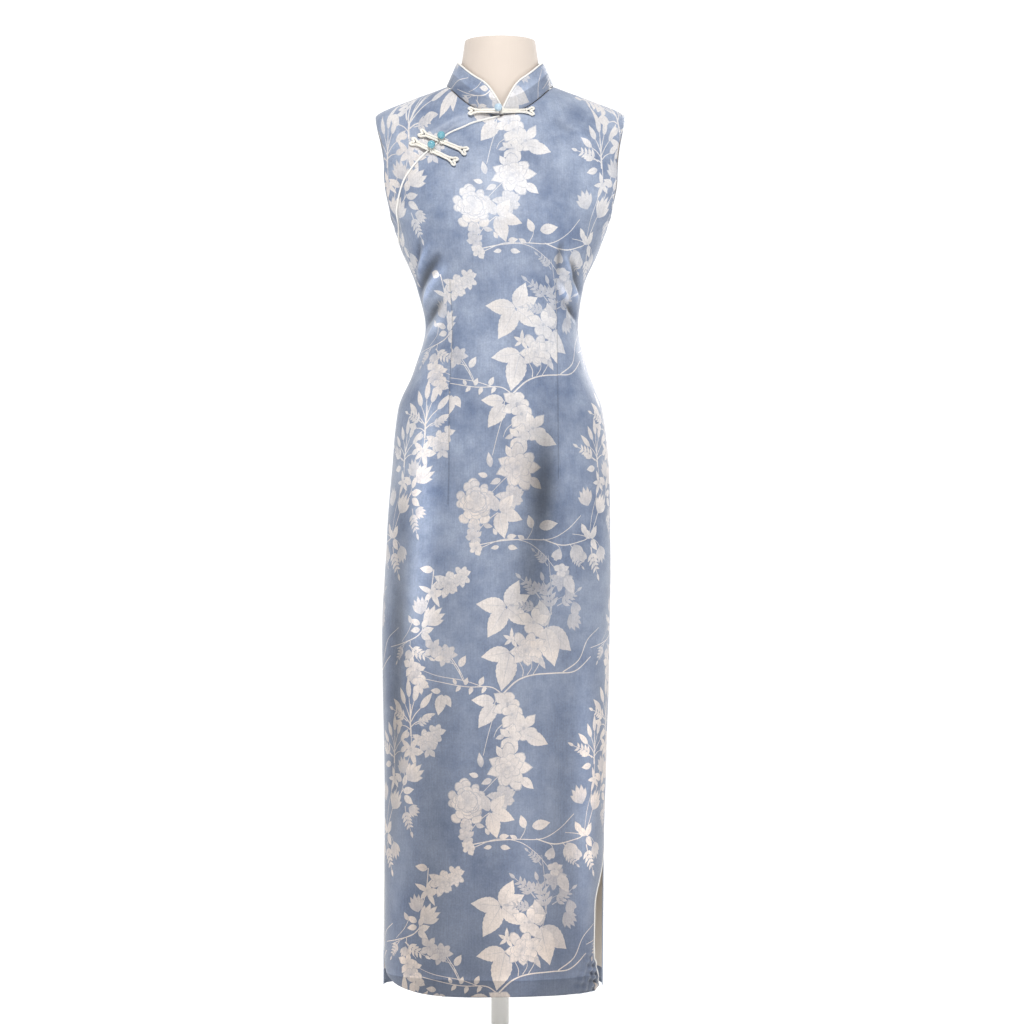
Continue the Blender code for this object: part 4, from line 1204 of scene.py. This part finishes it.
def math_node(nodes, links, operation, a, b, clamp=False):
    made = nodes.new("ShaderNodeMath")
    made.operation = operation
    made.use_clamp = clamp
    for socket, value in zip(made.inputs, (a, b)):
        if isinstance(value, (int, float)):
            socket.default_value = value
        else:
            links.new(value, socket)
    return made.outputs[0]


def mix_colour(nodes, links, factor, a, b, blend="MIX"):
    made = nodes.new("ShaderNodeMix")
    made.data_type = "RGBA"
    made.blend_type = blend
    for socket, value in ((made.inputs[0], factor), (made.inputs[6], a), (made.inputs[7], b)):
        if isinstance(value, (int, float)):
            socket.default_value = value
        elif isinstance(value, tuple):
            socket.default_value = (*value, 1.0)
        else:
            links.new(value, socket)
    return made.outputs[2]


def noise(nodes, links, vector, scale, detail=3.0, rough=0.55):
    made = node(nodes, "ShaderNodeTexNoise", in_Scale=scale, in_Detail=detail, in_Roughness=rough)
    links.new(vector, made.inputs["Vector"])
    return made.outputs["Fac"]


def attribute(nodes, name):
    return node(nodes, "ShaderNodeAttribute", attribute_name=name).outputs["Fac"]


def mapped(nodes, links, value, start, end, low=0.0, high=1.0, kind="LINEAR"):
    """low to high as a value goes from start to end."""
    made = node(nodes, "ShaderNodeMapRange", interpolation_type=kind, in_From_Min=start,
                in_From_Max=end, in_To_Min=low, in_To_Max=high)
    links.new(value, made.inputs["Value"])
    return made.outputs[0]


def stretched(nodes, links, vector, scale):
    made = nodes.new("ShaderNodeMapping")
    made.inputs["Scale"].default_value = scale
    links.new(vector, made.inputs["Vector"])
    return made.outputs[0]


def add_weave(nodes, links, shader, uv, thread, depth, extra=None):
    """A fine weave in the bump, with whatever else is given in metres."""
    waves = []
    for direction in ("X", "Y"):
        wave = node(nodes, "ShaderNodeTexWave", bands_direction=direction, in_Scale=0.314 / thread,
                    in_Distortion=0.6, in_Detail=1.0)
        links.new(uv, wave.inputs["Vector"])
        waves.append(wave.outputs["Fac"])
    height = math_node(nodes, links, "MULTIPLY", math_node(nodes, links, "MAXIMUM", *waves), depth)
    if extra is not None:
        height = math_node(nodes, links, "ADD", height, extra)
    bump = node(nodes, "ShaderNodeBump", in_Strength=1.0, in_Distance=1.0)
    links.new(height, bump.inputs["Height"])
    links.new(bump.outputs[0], shader.inputs["Normal"])


GROUND = (0.222, 0.278, 0.400)
GROUND_DARK = (0.118, 0.160, 0.262)
GROUND_LIGHT = (0.350, 0.400, 0.505)
# The ground's colour towards the hem: partly a greyer ground, partly painted shade for less light low
# down.
GROUND_LOW_GREY_AND_SHADE = (0.098, 0.116, 0.165)
PALE_INK = (0.700, 0.675, 0.665)
WARM_INK = (0.640, 0.540, 0.470)


def shaded(nodes, links, colour, value, start, end, low, high):
    """A colour times low to high as a value goes from start to end."""
    shade = mapped(nodes, links, value, start, end, low, high)
    spread = nodes.new("ShaderNodeCombineColor")
    for socket in spread.inputs:
        links.new(shade, socket)
    return mix_colour(nodes, links, 1.0, colour, spread.outputs[0], "MULTIPLY")


def printed_silk():
    made, nodes, links, shader = new_material("printed_silk")
    coords = nodes.new("ShaderNodeTexCoord").outputs["Object"]
    uv = node(nodes, "ShaderNodeUVMap", uv_map="cloth").outputs[0]
    tone, edge, above, fold = (attribute(nodes, k) for k in ("tone", "edge", "above_hem", "fold"))

    cloud = noise(nodes, links, coords, 9.0, 5.0, 0.62)
    blot = noise(nodes, links, coords, 38.0, 4.0, 0.6)
    grain = noise(nodes, links, coords, 420.0, 2.0, 0.6)
    slub = noise(nodes, links, stretched(nodes, links, uv, (700.0, 28.0, 1.0)), 1.0, 2.0)
    cloud = math_node(nodes, links, "ADD", math_node(nodes, links, "MULTIPLY", cloud, 0.62),
                      math_node(nodes, links, "MULTIPLY", blot, 0.38))
    ramp = mapped(nodes, links, cloud, 0.38, 0.60)
    ground = mix_colour(nodes, links, ramp, GROUND_DARK, GROUND_LIGHT)
    ground = mix_colour(nodes, links, 0.25, ground, GROUND)
    height = nodes.new("ShaderNodeSeparateXYZ")
    links.new(coords, height.inputs[0])
    lower = mapped(nodes, links, height.outputs["Z"], 0.15, 1.05, 0.85, 0.0)
    blush = mapped(nodes, links, noise(nodes, links, coords, 6.0, 2.0), 0.45, 0.70, 0.0, 0.38)
    warm = math_node(nodes, links, "ADD", lower, blush, clamp=True)
    ink = mix_colour(nodes, links, warm, PALE_INK, WARM_INK)
    # The ground darker and greyer towards the hem: partly a greyer ground, partly painted shade.
    low_grey_and_shade = math_node(nodes, links, "MULTIPLY", lower, 0.80)
    ground = mix_colour(nodes, links, low_grey_and_shade, ground, GROUND_LOW_GREY_AND_SHADE)
    fade = mapped(nodes, links, blot, 0.30, 0.62, 0.80, 1.04)
    strength = math_node(nodes, links, "MULTIPLY", tone, fade, clamp=True)
    colour = mix_colour(nodes, links, strength, ground, ink)
    for value, start, end, low, high in (
        (grain, 0.3, 0.7, 0.90, 1.10),
        (slub, 0.3, 0.7, 0.93, 1.07),
        (above, HEM_BAND, HEM_BAND + 0.002, 0.70, 1.0),
        # Painted highlight: a lighter strip just above the turned hem's line.
        (above, HEM_BAND + 0.002, HEM_BAND + 0.012, 1.14, 1.0),
        # Painted shade: the colour darkens within about a millimetre of every seam, dart and cut edge.
        (edge, 0.0002, 0.0014, 0.72, 1.0),
        # Painted shade: the colour darkens in the folds' troughs.
        (fold, -0.85, 0.0, 0.28, 1.0),
        # Painted highlight: the colour brightens on the folds' ridges.
        (fold, 0.05, 0.70, 1.0, 1.70),
    ):
        colour = shaded(nodes, links, colour, value, start, end, low, high)
    links.new(colour, shader.inputs["Base Color"])

    links.new(mapped(nodes, links, blot, 0.0, 1.0, 0.30, 0.46), shader.inputs["Roughness"])
    shader.inputs["Specular IOR Level"].default_value = 0.45
    shader.inputs["Sheen Weight"].default_value = 0.15
    shader.inputs["Sheen Roughness"].default_value = 0.35
    ridge = mapped(nodes, links, edge, 0.0, 0.0035, -0.0006, 0.0, "SMOOTHSTEP")
    hem = mapped(nodes, links, above, HEM_BAND - 0.001, HEM_BAND + 0.001, 0.0004, 0.0, "SMOOTHSTEP")
    crepe = math_node(nodes, links, "MULTIPLY", noise(nodes, links, coords, 55.0, 3.0), 0.0009)
    extra = math_node(nodes, links, "ADD", ridge, hem)
    extra = math_node(nodes, links, "ADD", extra, crepe)
    add_weave(nodes, links, shader, uv, 0.0004, 0.00003, extra)
    return made


def plain_cloth(name, colour, variation, thread, depth, roughness, uv=False):
    """An undyed cloth: a soft colour variation over a fine weave."""
    made, nodes, links, shader = new_material(name)
    coords = nodes.new("ShaderNodeTexCoord").outputs["Object"]
    cloud = noise(nodes, links, coords, 30.0, 4.0)
    dark = tuple(c * (1 - variation) for c in colour)
    links.new(mix_colour(nodes, links, cloud, dark, colour), shader.inputs["Base Color"])
    shader.inputs["Roughness"].default_value = roughness
    shader.inputs["Sheen Weight"].default_value = 0.2
    vector = node(nodes, "ShaderNodeUVMap", uv_map="cloth").outputs[0] if uv else coords
    add_weave(nodes, links, shader, vector, thread, depth)
    return made


def silk_inside():
    """The cloth's plain back, with the printed face again on its turned hem."""
    made = plain_cloth("silk_inside", (0.86, 0.79, 0.71), 0.10, 0.0005, 0.00004, 0.55, uv=True)
    nodes, links = made.node_tree.nodes, made.node_tree.links
    shader = nodes["Principled BSDF"]
    above = attribute(nodes, "above_hem")
    turned_up = mapped(nodes, links, above, HEM_BAND, HEM_BAND + 0.001, 1.0, 0.0)
    plain = shader.inputs["Base Color"].links[0].from_socket
    links.new(mix_colour(nodes, links, turned_up, plain, GROUND_DARK), shader.inputs["Base Color"])
    return made


def twisted_cord(name, colour):
    """A satin cord: diagonal ribs round it, from its own lengthways map."""
    made, nodes, links, shader = new_material(name)
    uv = node(nodes, "ShaderNodeUVMap", uv_map="cloth").outputs[0]
    wave = node(nodes, "ShaderNodeTexWave", bands_direction="DIAGONAL", in_Scale=0.314 / 0.0011,
                in_Distortion=0.3)
    links.new(uv, wave.inputs["Vector"])
    # Painted shade: the colour darkens in the ribs' grooves, on the same wave as the bump.
    dark = tuple(c * 0.84 for c in colour)
    links.new(mix_colour(nodes, links, wave.outputs["Fac"], dark, colour), shader.inputs["Base Color"])
    shader.inputs["Roughness"].default_value = 0.5
    shader.inputs["Sheen Weight"].default_value = 0.3
    bump = node(nodes, "ShaderNodeBump", in_Strength=1.0, in_Distance=0.00018)
    links.new(wave.outputs["Fac"], bump.inputs["Height"])
    links.new(bump.outputs[0], shader.inputs["Normal"])
    return made


def bead_material(name, colour, deep):
    made, nodes, links, shader = new_material(name)
    coords = nodes.new("ShaderNodeTexCoord").outputs["Object"]
    swirl = noise(nodes, links, coords, 260.0, 4.0, 0.6)
    links.new(mix_colour(nodes, links, swirl, deep, colour), shader.inputs["Base Color"])
    shader.inputs["Roughness"].default_value = 0.16
    shader.inputs["Coat Weight"].default_value = 0.6
    shader.inputs["Subsurface Weight"].default_value = 0.15
    shader.inputs["Subsurface Radius"].default_value = (0.002, 0.003, 0.003)
    return made


def painted_metal():
    made, nodes, links, shader = new_material("form_metal")
    coords = nodes.new("ShaderNodeTexCoord").outputs["Object"]
    peel = noise(nodes, links, coords, 300.0, 2.0)
    haze = noise(nodes, links, coords, 14.0, 3.0)
    paint = mix_colour(nodes, links, haze, (0.80, 0.79, 0.76), (0.86, 0.85, 0.82))
    links.new(paint, shader.inputs["Base Color"])
    links.new(mapped(nodes, links, haze, 0.0, 1.0, 0.30, 0.44), shader.inputs["Roughness"])
    bump = node(nodes, "ShaderNodeBump", in_Strength=0.4, in_Distance=0.0001)
    links.new(peel, bump.inputs["Height"])
    links.new(bump.outputs[0], shader.inputs["Normal"])
    return made


# ================================================================ tubes and lofts
def mesh_object(name, verts, faces, mats, uv=None):
    mesh = bpy.data.meshes.new(name)
    mesh.from_pydata([tuple(v) for v in verts], [], [tuple(f) for f in faces])
    for m in mats:
        mesh.materials.append(m)
    if uv is not None:
        layer = mesh.uv_layers.new(name="cloth")
        for loop in mesh.loops:
            layer.data[loop.index].uv = uv[loop.vertex_index]
    mesh.shade_smooth()
    obj = bpy.data.objects.new(name, mesh)
    bpy.context.scene.collection.objects.link(obj)
    return obj


def tube(path, radius, sides=14):
    """A round cord along a path, with domed ends: its points, faces and map."""
    path = np.asarray(path, float)
    along = np.gradient(path, axis=0)
    along /= np.linalg.norm(along, axis=1)[:, None]
    run = np.concatenate([[0], np.cumsum(np.linalg.norm(np.diff(path, axis=0), axis=1))])
    side = np.cross(along[0], (0.0, 0.0, 1.0) if abs(along[0][2]) < 0.9 else (0.0, 1.0, 0.0))
    sections = []
    for point, t, at in zip(path, along, run):
        side = side - t * side.dot(t)
        side /= np.linalg.norm(side)
        sections.append((point, side, np.cross(t, side), radius, at))
    first, last = sections[0], sections[-1]
    for drop in (0.75, 0.35):
        back = radius * (1 - drop) * 0.8
        sections.insert(0, (first[0] - along[0] * back, *first[1:3], radius * drop, 0.0))
        sections.append((last[0] + along[-1] * back, *last[1:3], radius * drop, run[-1]))
    turns = np.linspace(0, 2 * np.pi, sides, endpoint=False)[:, None]
    verts = np.vstack([p + (u * np.cos(turns) + v * np.sin(turns)) * r for p, u, v, r, _ in sections])
    uv = [(turn * radius, section[4]) for section in sections for turn in turns[:, 0]]
    faces = [tuple(range(sides - 1, -1, -1)), tuple(range(len(verts) - sides, len(verts)))]
    for low in range(0, len(verts) - sides, sides):
        for k in range(sides):
            m = (k + 1) % sides
            faces.append((low + k, low + m, low + sides + m, low + sides + k))
    return verts, faces, uv


def joined(name, parts, mat):
    """One object from several tubes."""
    verts, faces, uv = [], [], []
    for part_verts, part_faces, part_uv in parts:
        faces += [tuple(k + len(verts) for k in face) for face in part_faces]
        verts += list(part_verts)
        uv += part_uv
    return mesh_object(name, verts, faces, [mat], uv)


def smooth_path(points, step):
    """A path resampled at even steps through a smooth curve."""
    points = np.asarray(points, float)
    fine = smooth_curve(points, 8)
    run = np.concatenate([[0], np.cumsum(np.linalg.norm(np.diff(fine, axis=0), axis=1))])
    at = np.linspace(0, run[-1], max(3, int(run[-1] / step)))
    return np.column_stack([np.interp(at, run, fine[:, k]) for k in range(fine.shape[1])])


# ================================================================ build
silk = printed_silk()
inside = silk_inside()
edge_cloth = plain_cloth("silk_edge", (0.34, 0.40, 0.52), 0.10, 0.0005, 0.00004, 0.55, uv=True)
piping_cloth = twisted_cord("cream_piping", (0.92, 0.90, 0.86))
cord_cloth = twisted_cord("cream_cord", (0.94, 0.90, 0.82))
form_cloth = plain_cloth("form_cover", (0.66, 0.575, 0.505), 0.06, 0.0011, 0.00006, 0.75)
metal = painted_metal()
blue_bead = bead_material("pale_bead", (0.58, 0.68, 0.75), (0.34, 0.50, 0.64))
teal_bead = bead_material("teal_bead", (0.24, 0.52, 0.60), (0.08, 0.27, 0.36))

repeat = draw_repeat()
PRINT_AT = np.array([-0.153, 0.204])
cloth_mats = [silk, inside, edge_cloth]

front_flat, front_surface = panel_maps(front_half, FRONT_DARTS, slant)
front, front_size, front_area = make_cloth(
    "front_panel", front_outline(front_flat), dart_holes(front_half, FRONT_DARTS, slant),
    front_surface, front_place, front_relief, 1.0, CLOTH, repeat, PRINT_AT, cloth_mats,
)
back_flat, back_surface = panel_maps(back_half, BACK_DARTS)
back, back_size, back_area = make_cloth(
    "back_panel", back_outline(back_flat), dart_holes(back_half, BACK_DARTS),
    back_surface, back_place, back_relief, -1.0, CLOTH, repeat, PRINT_AT + (0.11, 0.17), cloth_mats,
)
lap_flat, lap_surface = panel_maps(front_half, ())
underlap, underlap_size, underlap_area = make_cloth(
    "underlap_panel", underlap_outline(lap_flat), [], lap_surface, underlap_place,
    front_relief, 1.0, CLOTH, repeat, PRINT_AT, cloth_mats,
)
collar_shape = Collar()
collar, collar_size, collar_area = make_cloth(
    "stand_collar", collar_shape.outline(), [], lambda xy: (xy[:, 0], xy[:, 1]),
    collar_shape.place, lambda a, h: np.zeros_like(a), 1.0, COLLAR_CLOTH, repeat,
    PRINT_AT + (0.02, -0.06), cloth_mats, grid=0.0030, inner_grid=0.0050,
)

root = "root"

# ---------------------------------------------------------------- pipings
def trim(name, path, radius, node_name):
    """A piping along a sewn edge."""
    piece = joined(name, [tube(smooth_path(path, 0.0022), radius)], piping_cloth)
    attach(piece, root)
    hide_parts(node_name)
    return piece


def beside(place, a, level, out, away, outwards):
    """A line of places, moved square to the worn surface and along it away from the cloth."""
    points = place(a, level)
    normal = surface_normals(place, a, level, out)
    along = np.gradient(points, axis=0)
    along /= np.linalg.norm(along, axis=1)[:, None]
    sideways = np.cross(along, normal)
    return points + sideways * away + normal * outwards


a = np.linspace(-collar_shape.half, collar_shape.half, 150)
collar_trims = [trim(
    "collar_edge_piping",
    beside(collar_shape.place, a, collar_shape.height_at(a), 1.0, -0.0012, -COLLAR_CLOTH / 2),
    COLLAR_PIPING_RADIUS, "collar_piping",
)]

level = np.linspace(OPENING_BOTTOM + 0.003, OPENING_PIPING_TOP, 90)
a = front_half.around_at(read_table(OPENING_EDGE, level)[:, 1], level)
front_trims = [trim(
    "opening_edge_piping", beside(front_place, a, level, 1.0, -0.0011, 0.0002),
    OPENING_PIPING_RADIUS, "opening_piping",
)]

for side, sign, open_by, corner in (
    ("left", 1, SLIT_OPEN_LEFT, HEM_CORNER_LEFT), ("right", -1, SLIT_OPEN_RIGHT, HEM_CORNER_RIGHT),
):
    level = np.linspace(HEM_LEVEL + corner[1], SLIT_TOP - 0.014, 60)
    a = sign * (front_half.reach_at(level) - SEAM_TRIM - SLIT_PIPING_ROOM - open_by * slit_share(level))
    front_trims.append(trim(
        f"slit_edge_piping_{side}",
        beside(front_place, a, level, 1.0, sign * 0.0010, -CLOTH / 2),
        SLIT_PIPING_RADIUS, f"slit_piping_{side}",
    ))


# ---------------------------------------------------------------- closures
Closure = namedtuple("Closure", "name x z slope to_right to_left bead_along bead_across bead")
CLOSURES = (
    Closure("neck", 0.0000, 1.3500, 0.0, 0.042, 0.046, -0.0020, 0.0035, blue_bead),
    Closure("upper", -0.0830, 1.3060, -24.5, 0.030, 0.040, 0.0000, 0.0062, teal_bead),
    Closure("lower", -0.0960, 1.2930, -28.0, 0.029, 0.040, 0.0000, 0.0062, teal_bead),
)


def fishtail(length, lobe):
    """One side of a closure: a doubled cord whose far end flares into two lobes."""
    side = CORD_RADIUS * 0.98
    half = [
        (0.0012, side), (length * 0.40, side), (length * 0.72, side + 0.0001),
        (length - 0.0060, 0.0030), (length - 0.0020, lobe), (length + 0.0012, lobe * 0.82),
        (length - 0.0004, 0.0021), (length - 0.0036, 0.0),
    ]
    return np.array(half + [(x, -y) for x, y in reversed(half[:-1])])


def trim_surface():
    """The worn dress's smooth outside above the waist, with the collar."""
    degrees = np.arange(180) * 2.0
    rows = read_table(DRESS_RINGS, np.linspace(1.1, NECK_LEVEL, 60)).tolist()
    rings = [ring_points(row, degrees) for row in [*rows, COLLAR_TOP]]
    faces = [
        (j * 180 + i, j * 180 + (i + 1) % 180, (j + 1) * 180 + (i + 1) % 180, (j + 1) * 180 + i)
        for j in range(len(rows)) for i in range(180)
    ]
    return BVHTree.FromPolygons(np.vstack(rings).tolist(), faces)


surface = trim_surface()


def laid(closure, points, lift):
    """Flat points of a closure, turned to its slope and laid on the cloth's front."""
    path = []
    for x, z in turned(points, closure.slope, closure.x, closure.z):
        hit, normal, _, _ = surface.ray_cast(Vector((x, -1, z)), Vector((0, 1, 0)))
        path.append(hit + Vector((normal.x, normal.y, normal.z * 0.3)).normalized() * lift)
    return np.array(path)


def wrap(closure, along, turns):
    """The cord's own binding, wound round the bar."""
    t = np.linspace(0, 1, 16 * turns + 1)
    turn = 2 * np.pi * turns * t
    across = (2 * CORD_RADIUS + 0.0006) * np.cos(turn)
    flat = np.column_stack([along + (t - 0.5) * 0.0020 * turns, across])
    low = laid(closure, flat, CORD_RADIUS + CORD_LIFT)
    return low - np.outer(np.sin(turn), (0.0, (CORD_RADIUS + 0.0007), 0.0))


def bead_mesh(name, centre, radius, mat):
    """A round bead with a small sunk hole at each end, across the closure."""
    profile = [(0.10, -0.90), (0.16, -0.97)]
    profile += [(math.cos(v), math.sin(v)) for v in np.radians(np.linspace(-78, 78, 25))]
    profile += [(0.16, 0.97), (0.10, 0.90)]
    sides = 48
    verts, faces = [], []
    for r, x in profile:
        for k in range(sides):
            turn = 2 * math.pi * k / sides
            verts.append(np.array([x, r * math.cos(turn), r * math.sin(turn)]) * radius + centre)
    for low in range(0, len(verts) - sides, sides):
        for k in range(sides):
            m = (k + 1) % sides
            faces.append((low + k, low + sides + k, low + sides + m, low + m))
    faces.append(tuple(range(sides)))
    faces.append(tuple(range(len(verts) - 1, len(verts) - sides - 1, -1)))
    return mesh_object(name, verts, faces, [mat])


for closure in CLOSURES:
    middle = np.array([[closure.bead_along, closure.bead_across]])
    bead_at = laid(closure, middle, 2 * CORD_RADIUS + CORD_LIFT + 0.0003 + BEAD_RADIUS)[0]
    for side, reach, mirror in (("loop", closure.to_right, -1), ("knot", closure.to_left, 1)):
        lobe = 0.0050 if side == "loop" else 0.0054
        flat = smooth_path(fishtail(reach, lobe) * (mirror, 1), 0.0009)
        parts = [tube(laid(closure, flat, CORD_RADIUS + CORD_LIFT), CORD_RADIUS)]
        parts.append(tube(wrap(closure, mirror * (reach - 0.0085), 1), 0.0006, 8))
        if side == "knot":
            parts.append(tube(wrap(closure, 0.0030, 2), 0.0009, 10))
            shank = np.array([laid(closure, np.zeros((1, 2)), CORD_RADIUS * 2 + CORD_LIFT)[0], bead_at])
            parts.append(tube(smooth_path(np.vstack([shank[0], shank.mean(axis=0), shank[1]]), 0.0009),
                              0.0011, 10))
        piece = joined(f"closure_{closure.name}_{side}_cord", parts, cord_cloth)
        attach(piece, root)
        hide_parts(f"closure_{closure.name}_{side}")
        front_trims.append(piece)
    piece = bead_mesh(f"closure_{closure.name}_round", bead_at, BEAD_RADIUS, closure.bead)
    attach(piece, root)
    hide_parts(f"closure_{closure.name}_bead")
    front_trims.append(piece)

# ---------------------------------------------------------------- the form and stand
FORM_SIDES = 128
FORM_RIM = 0.0012  # the rounding at the neck's flat top


def build_form():
    """The form's covered body, with a rounded rim and a slightly sunk cap at the neck."""
    levels = np.linspace(FORM_RINGS[0][0], FORM_RINGS[-1][0], 180)
    degrees = np.arange(FORM_SIDES) * 360 / FORM_SIDES
    rings = [ring_points(row, degrees) for row in read_table(FORM_RINGS, levels)]
    top = rings[-1]
    centre = top.mean(axis=0)
    rings[-1] = top - (0, 0, FORM_RIM)
    for turn in (30, 60, 90):
        inwards = FORM_RIM * (1 - math.cos(math.radians(turn)))
        lower = FORM_RIM * (1 - math.sin(math.radians(turn)))
        rings.append(top + (centre - top) * inwards / 0.050 - (0, 0, lower))
    rings.append(top + (centre - top) * 0.16)
    rings.append(top + (centre - top) * 0.19 - (0, 0, 0.0008))
    rings.append(top + (centre - top) * 0.60 - (0, 0, 0.0008))
    verts = np.vstack(rings)
    faces = []
    for j in range(len(rings) - 1):
        for k in range(FORM_SIDES):
            m = (k + 1) % FORM_SIDES
            low, high = j * FORM_SIDES, (j + 1) * FORM_SIDES
            faces.append((low + k, low + m, high + m, high + k))
    faces.append(tuple(range(len(verts) - FORM_SIDES, len(verts))))
    faces.append(tuple(range(FORM_SIDES - 1, -1, -1)))
    return mesh_object("form_body", verts, faces, [form_cloth])


form_body = build_form()
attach(form_body, root)
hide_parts("form_torso")
for node_name in ("form_flange", "form_pole", "form_base"):
    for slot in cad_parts[node_name].material_slots:
        slot.material = metal

# ---------------------------------------------------------------- the panels' cloth
for obj, size, area, node_name, rests, trims in (
    (front, front_size, front_area, "dress_front", ["form_body"], front_trims),
    (back, back_size, back_area, "dress_back", ["form_body"], []),
    (underlap, underlap_size, underlap_area, "dress_front_underlap", ["form_body"], []),
    (collar, collar_size, collar_area, "collar", ["front_panel", "back_panel"], collar_trims),
):
    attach(obj, root)
    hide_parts(node_name)
    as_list(rests)
    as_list(trims)

# ---------------------------------------------------------------- floor, light, camera
floor_mesh = bpy.data.meshes.new("floor")
floor_mesh.from_pydata([(-9, -9, 0), (9, -9, 0), (9, 9, 0), (-9, 9, 0)], [], [(0, 1, 2, 3)])
floor = bpy.data.objects.new("floor", floor_mesh)
floor.location.z = -0.0005
bpy.context.scene.collection.objects.link(floor)
floor_mat, nodes, links, shader = new_material("floor")
shader.inputs["Base Color"].default_value = (0.90, 0.90, 0.90, 1)
shader.inputs["Emission Color"].default_value = (1, 1, 1, 1)
shader.inputs["Emission Strength"].default_value = 0.45
shader.inputs["Roughness"].default_value = 0.8
floor_mesh.materials.append(floor_mat)

# A bright cove behind the object and a dimmer room behind the camera light it. The
# camera itself sees white all round.
WORLD_BEHIND, WORLD_FRONT = 1.15, 0.26
world = bpy.data.worlds.new("studio")
bpy.context.scene.world = world
world.use_nodes = True
nodes, links = world.node_tree.nodes, world.node_tree.links
facing = nodes.new("ShaderNodeSeparateXYZ")
links.new(nodes.new("ShaderNodeTexCoord").outputs["Generated"], facing.inputs[0])
glow = mapped(nodes, links, facing.outputs["Y"], -0.25, 0.55, WORLD_FRONT, WORLD_BEHIND, "SMOOTHSTEP")
camera_ray = nodes.new("ShaderNodeLightPath").outputs["Is Camera Ray"]
seen = math_node(nodes, links, "MULTIPLY", camera_ray, WORLD_BEHIND)
shown = math_node(nodes, links, "MAXIMUM", seen, glow)
links.new(shown, nodes["Background"].inputs["Strength"])
nodes["Background"].inputs["Color"].default_value = (1, 1, 1, 1)


def soft_light(name, place, aim, size, power, colour=(1, 1, 1)):
    data = bpy.data.lights.new(name, "AREA")
    data.shape = "DISK"
    data.size = size
    data.energy = power
    data.color = colour
    obj = bpy.data.objects.new(name, data)
    obj.location = place
    obj.rotation_euler = (Vector(aim) - Vector(place)).to_track_quat("-Z", "Y").to_euler()
    bpy.context.scene.collection.objects.link(obj)


soft_light("key", (-0.15, -2.2, 3.1), (0, 0, 1.2), 0.6, 68)
soft_light("right_fill", (2.6, -1.7, 1.9), (0, 0, 1.1), 0.8, 12)
soft_light("back_fill", (1.8, 2.6, 2.0), (0, 0, 0.9), 1.6, 20)

bpy.context.scene.view_settings.view_transform = "Standard"
VIEW_WIDTH = 1.454
VIEW_DISTANCE = 3.75
SENSOR_WIDTH = 36.0  # millimetres
camera_data = bpy.data.cameras.new("camera")
camera_data.sensor_width = SENSOR_WIDTH
camera_data.lens = SENSOR_WIDTH * VIEW_DISTANCE / VIEW_WIDTH
camera = bpy.data.objects.new("camera", camera_data)
camera.location = (0.017, -VIEW_DISTANCE, 0.789)
camera.rotation_euler = (math.pi / 2, 0, 0)
bpy.context.scene.collection.objects.link(camera)
bpy.context.scene.camera = camera
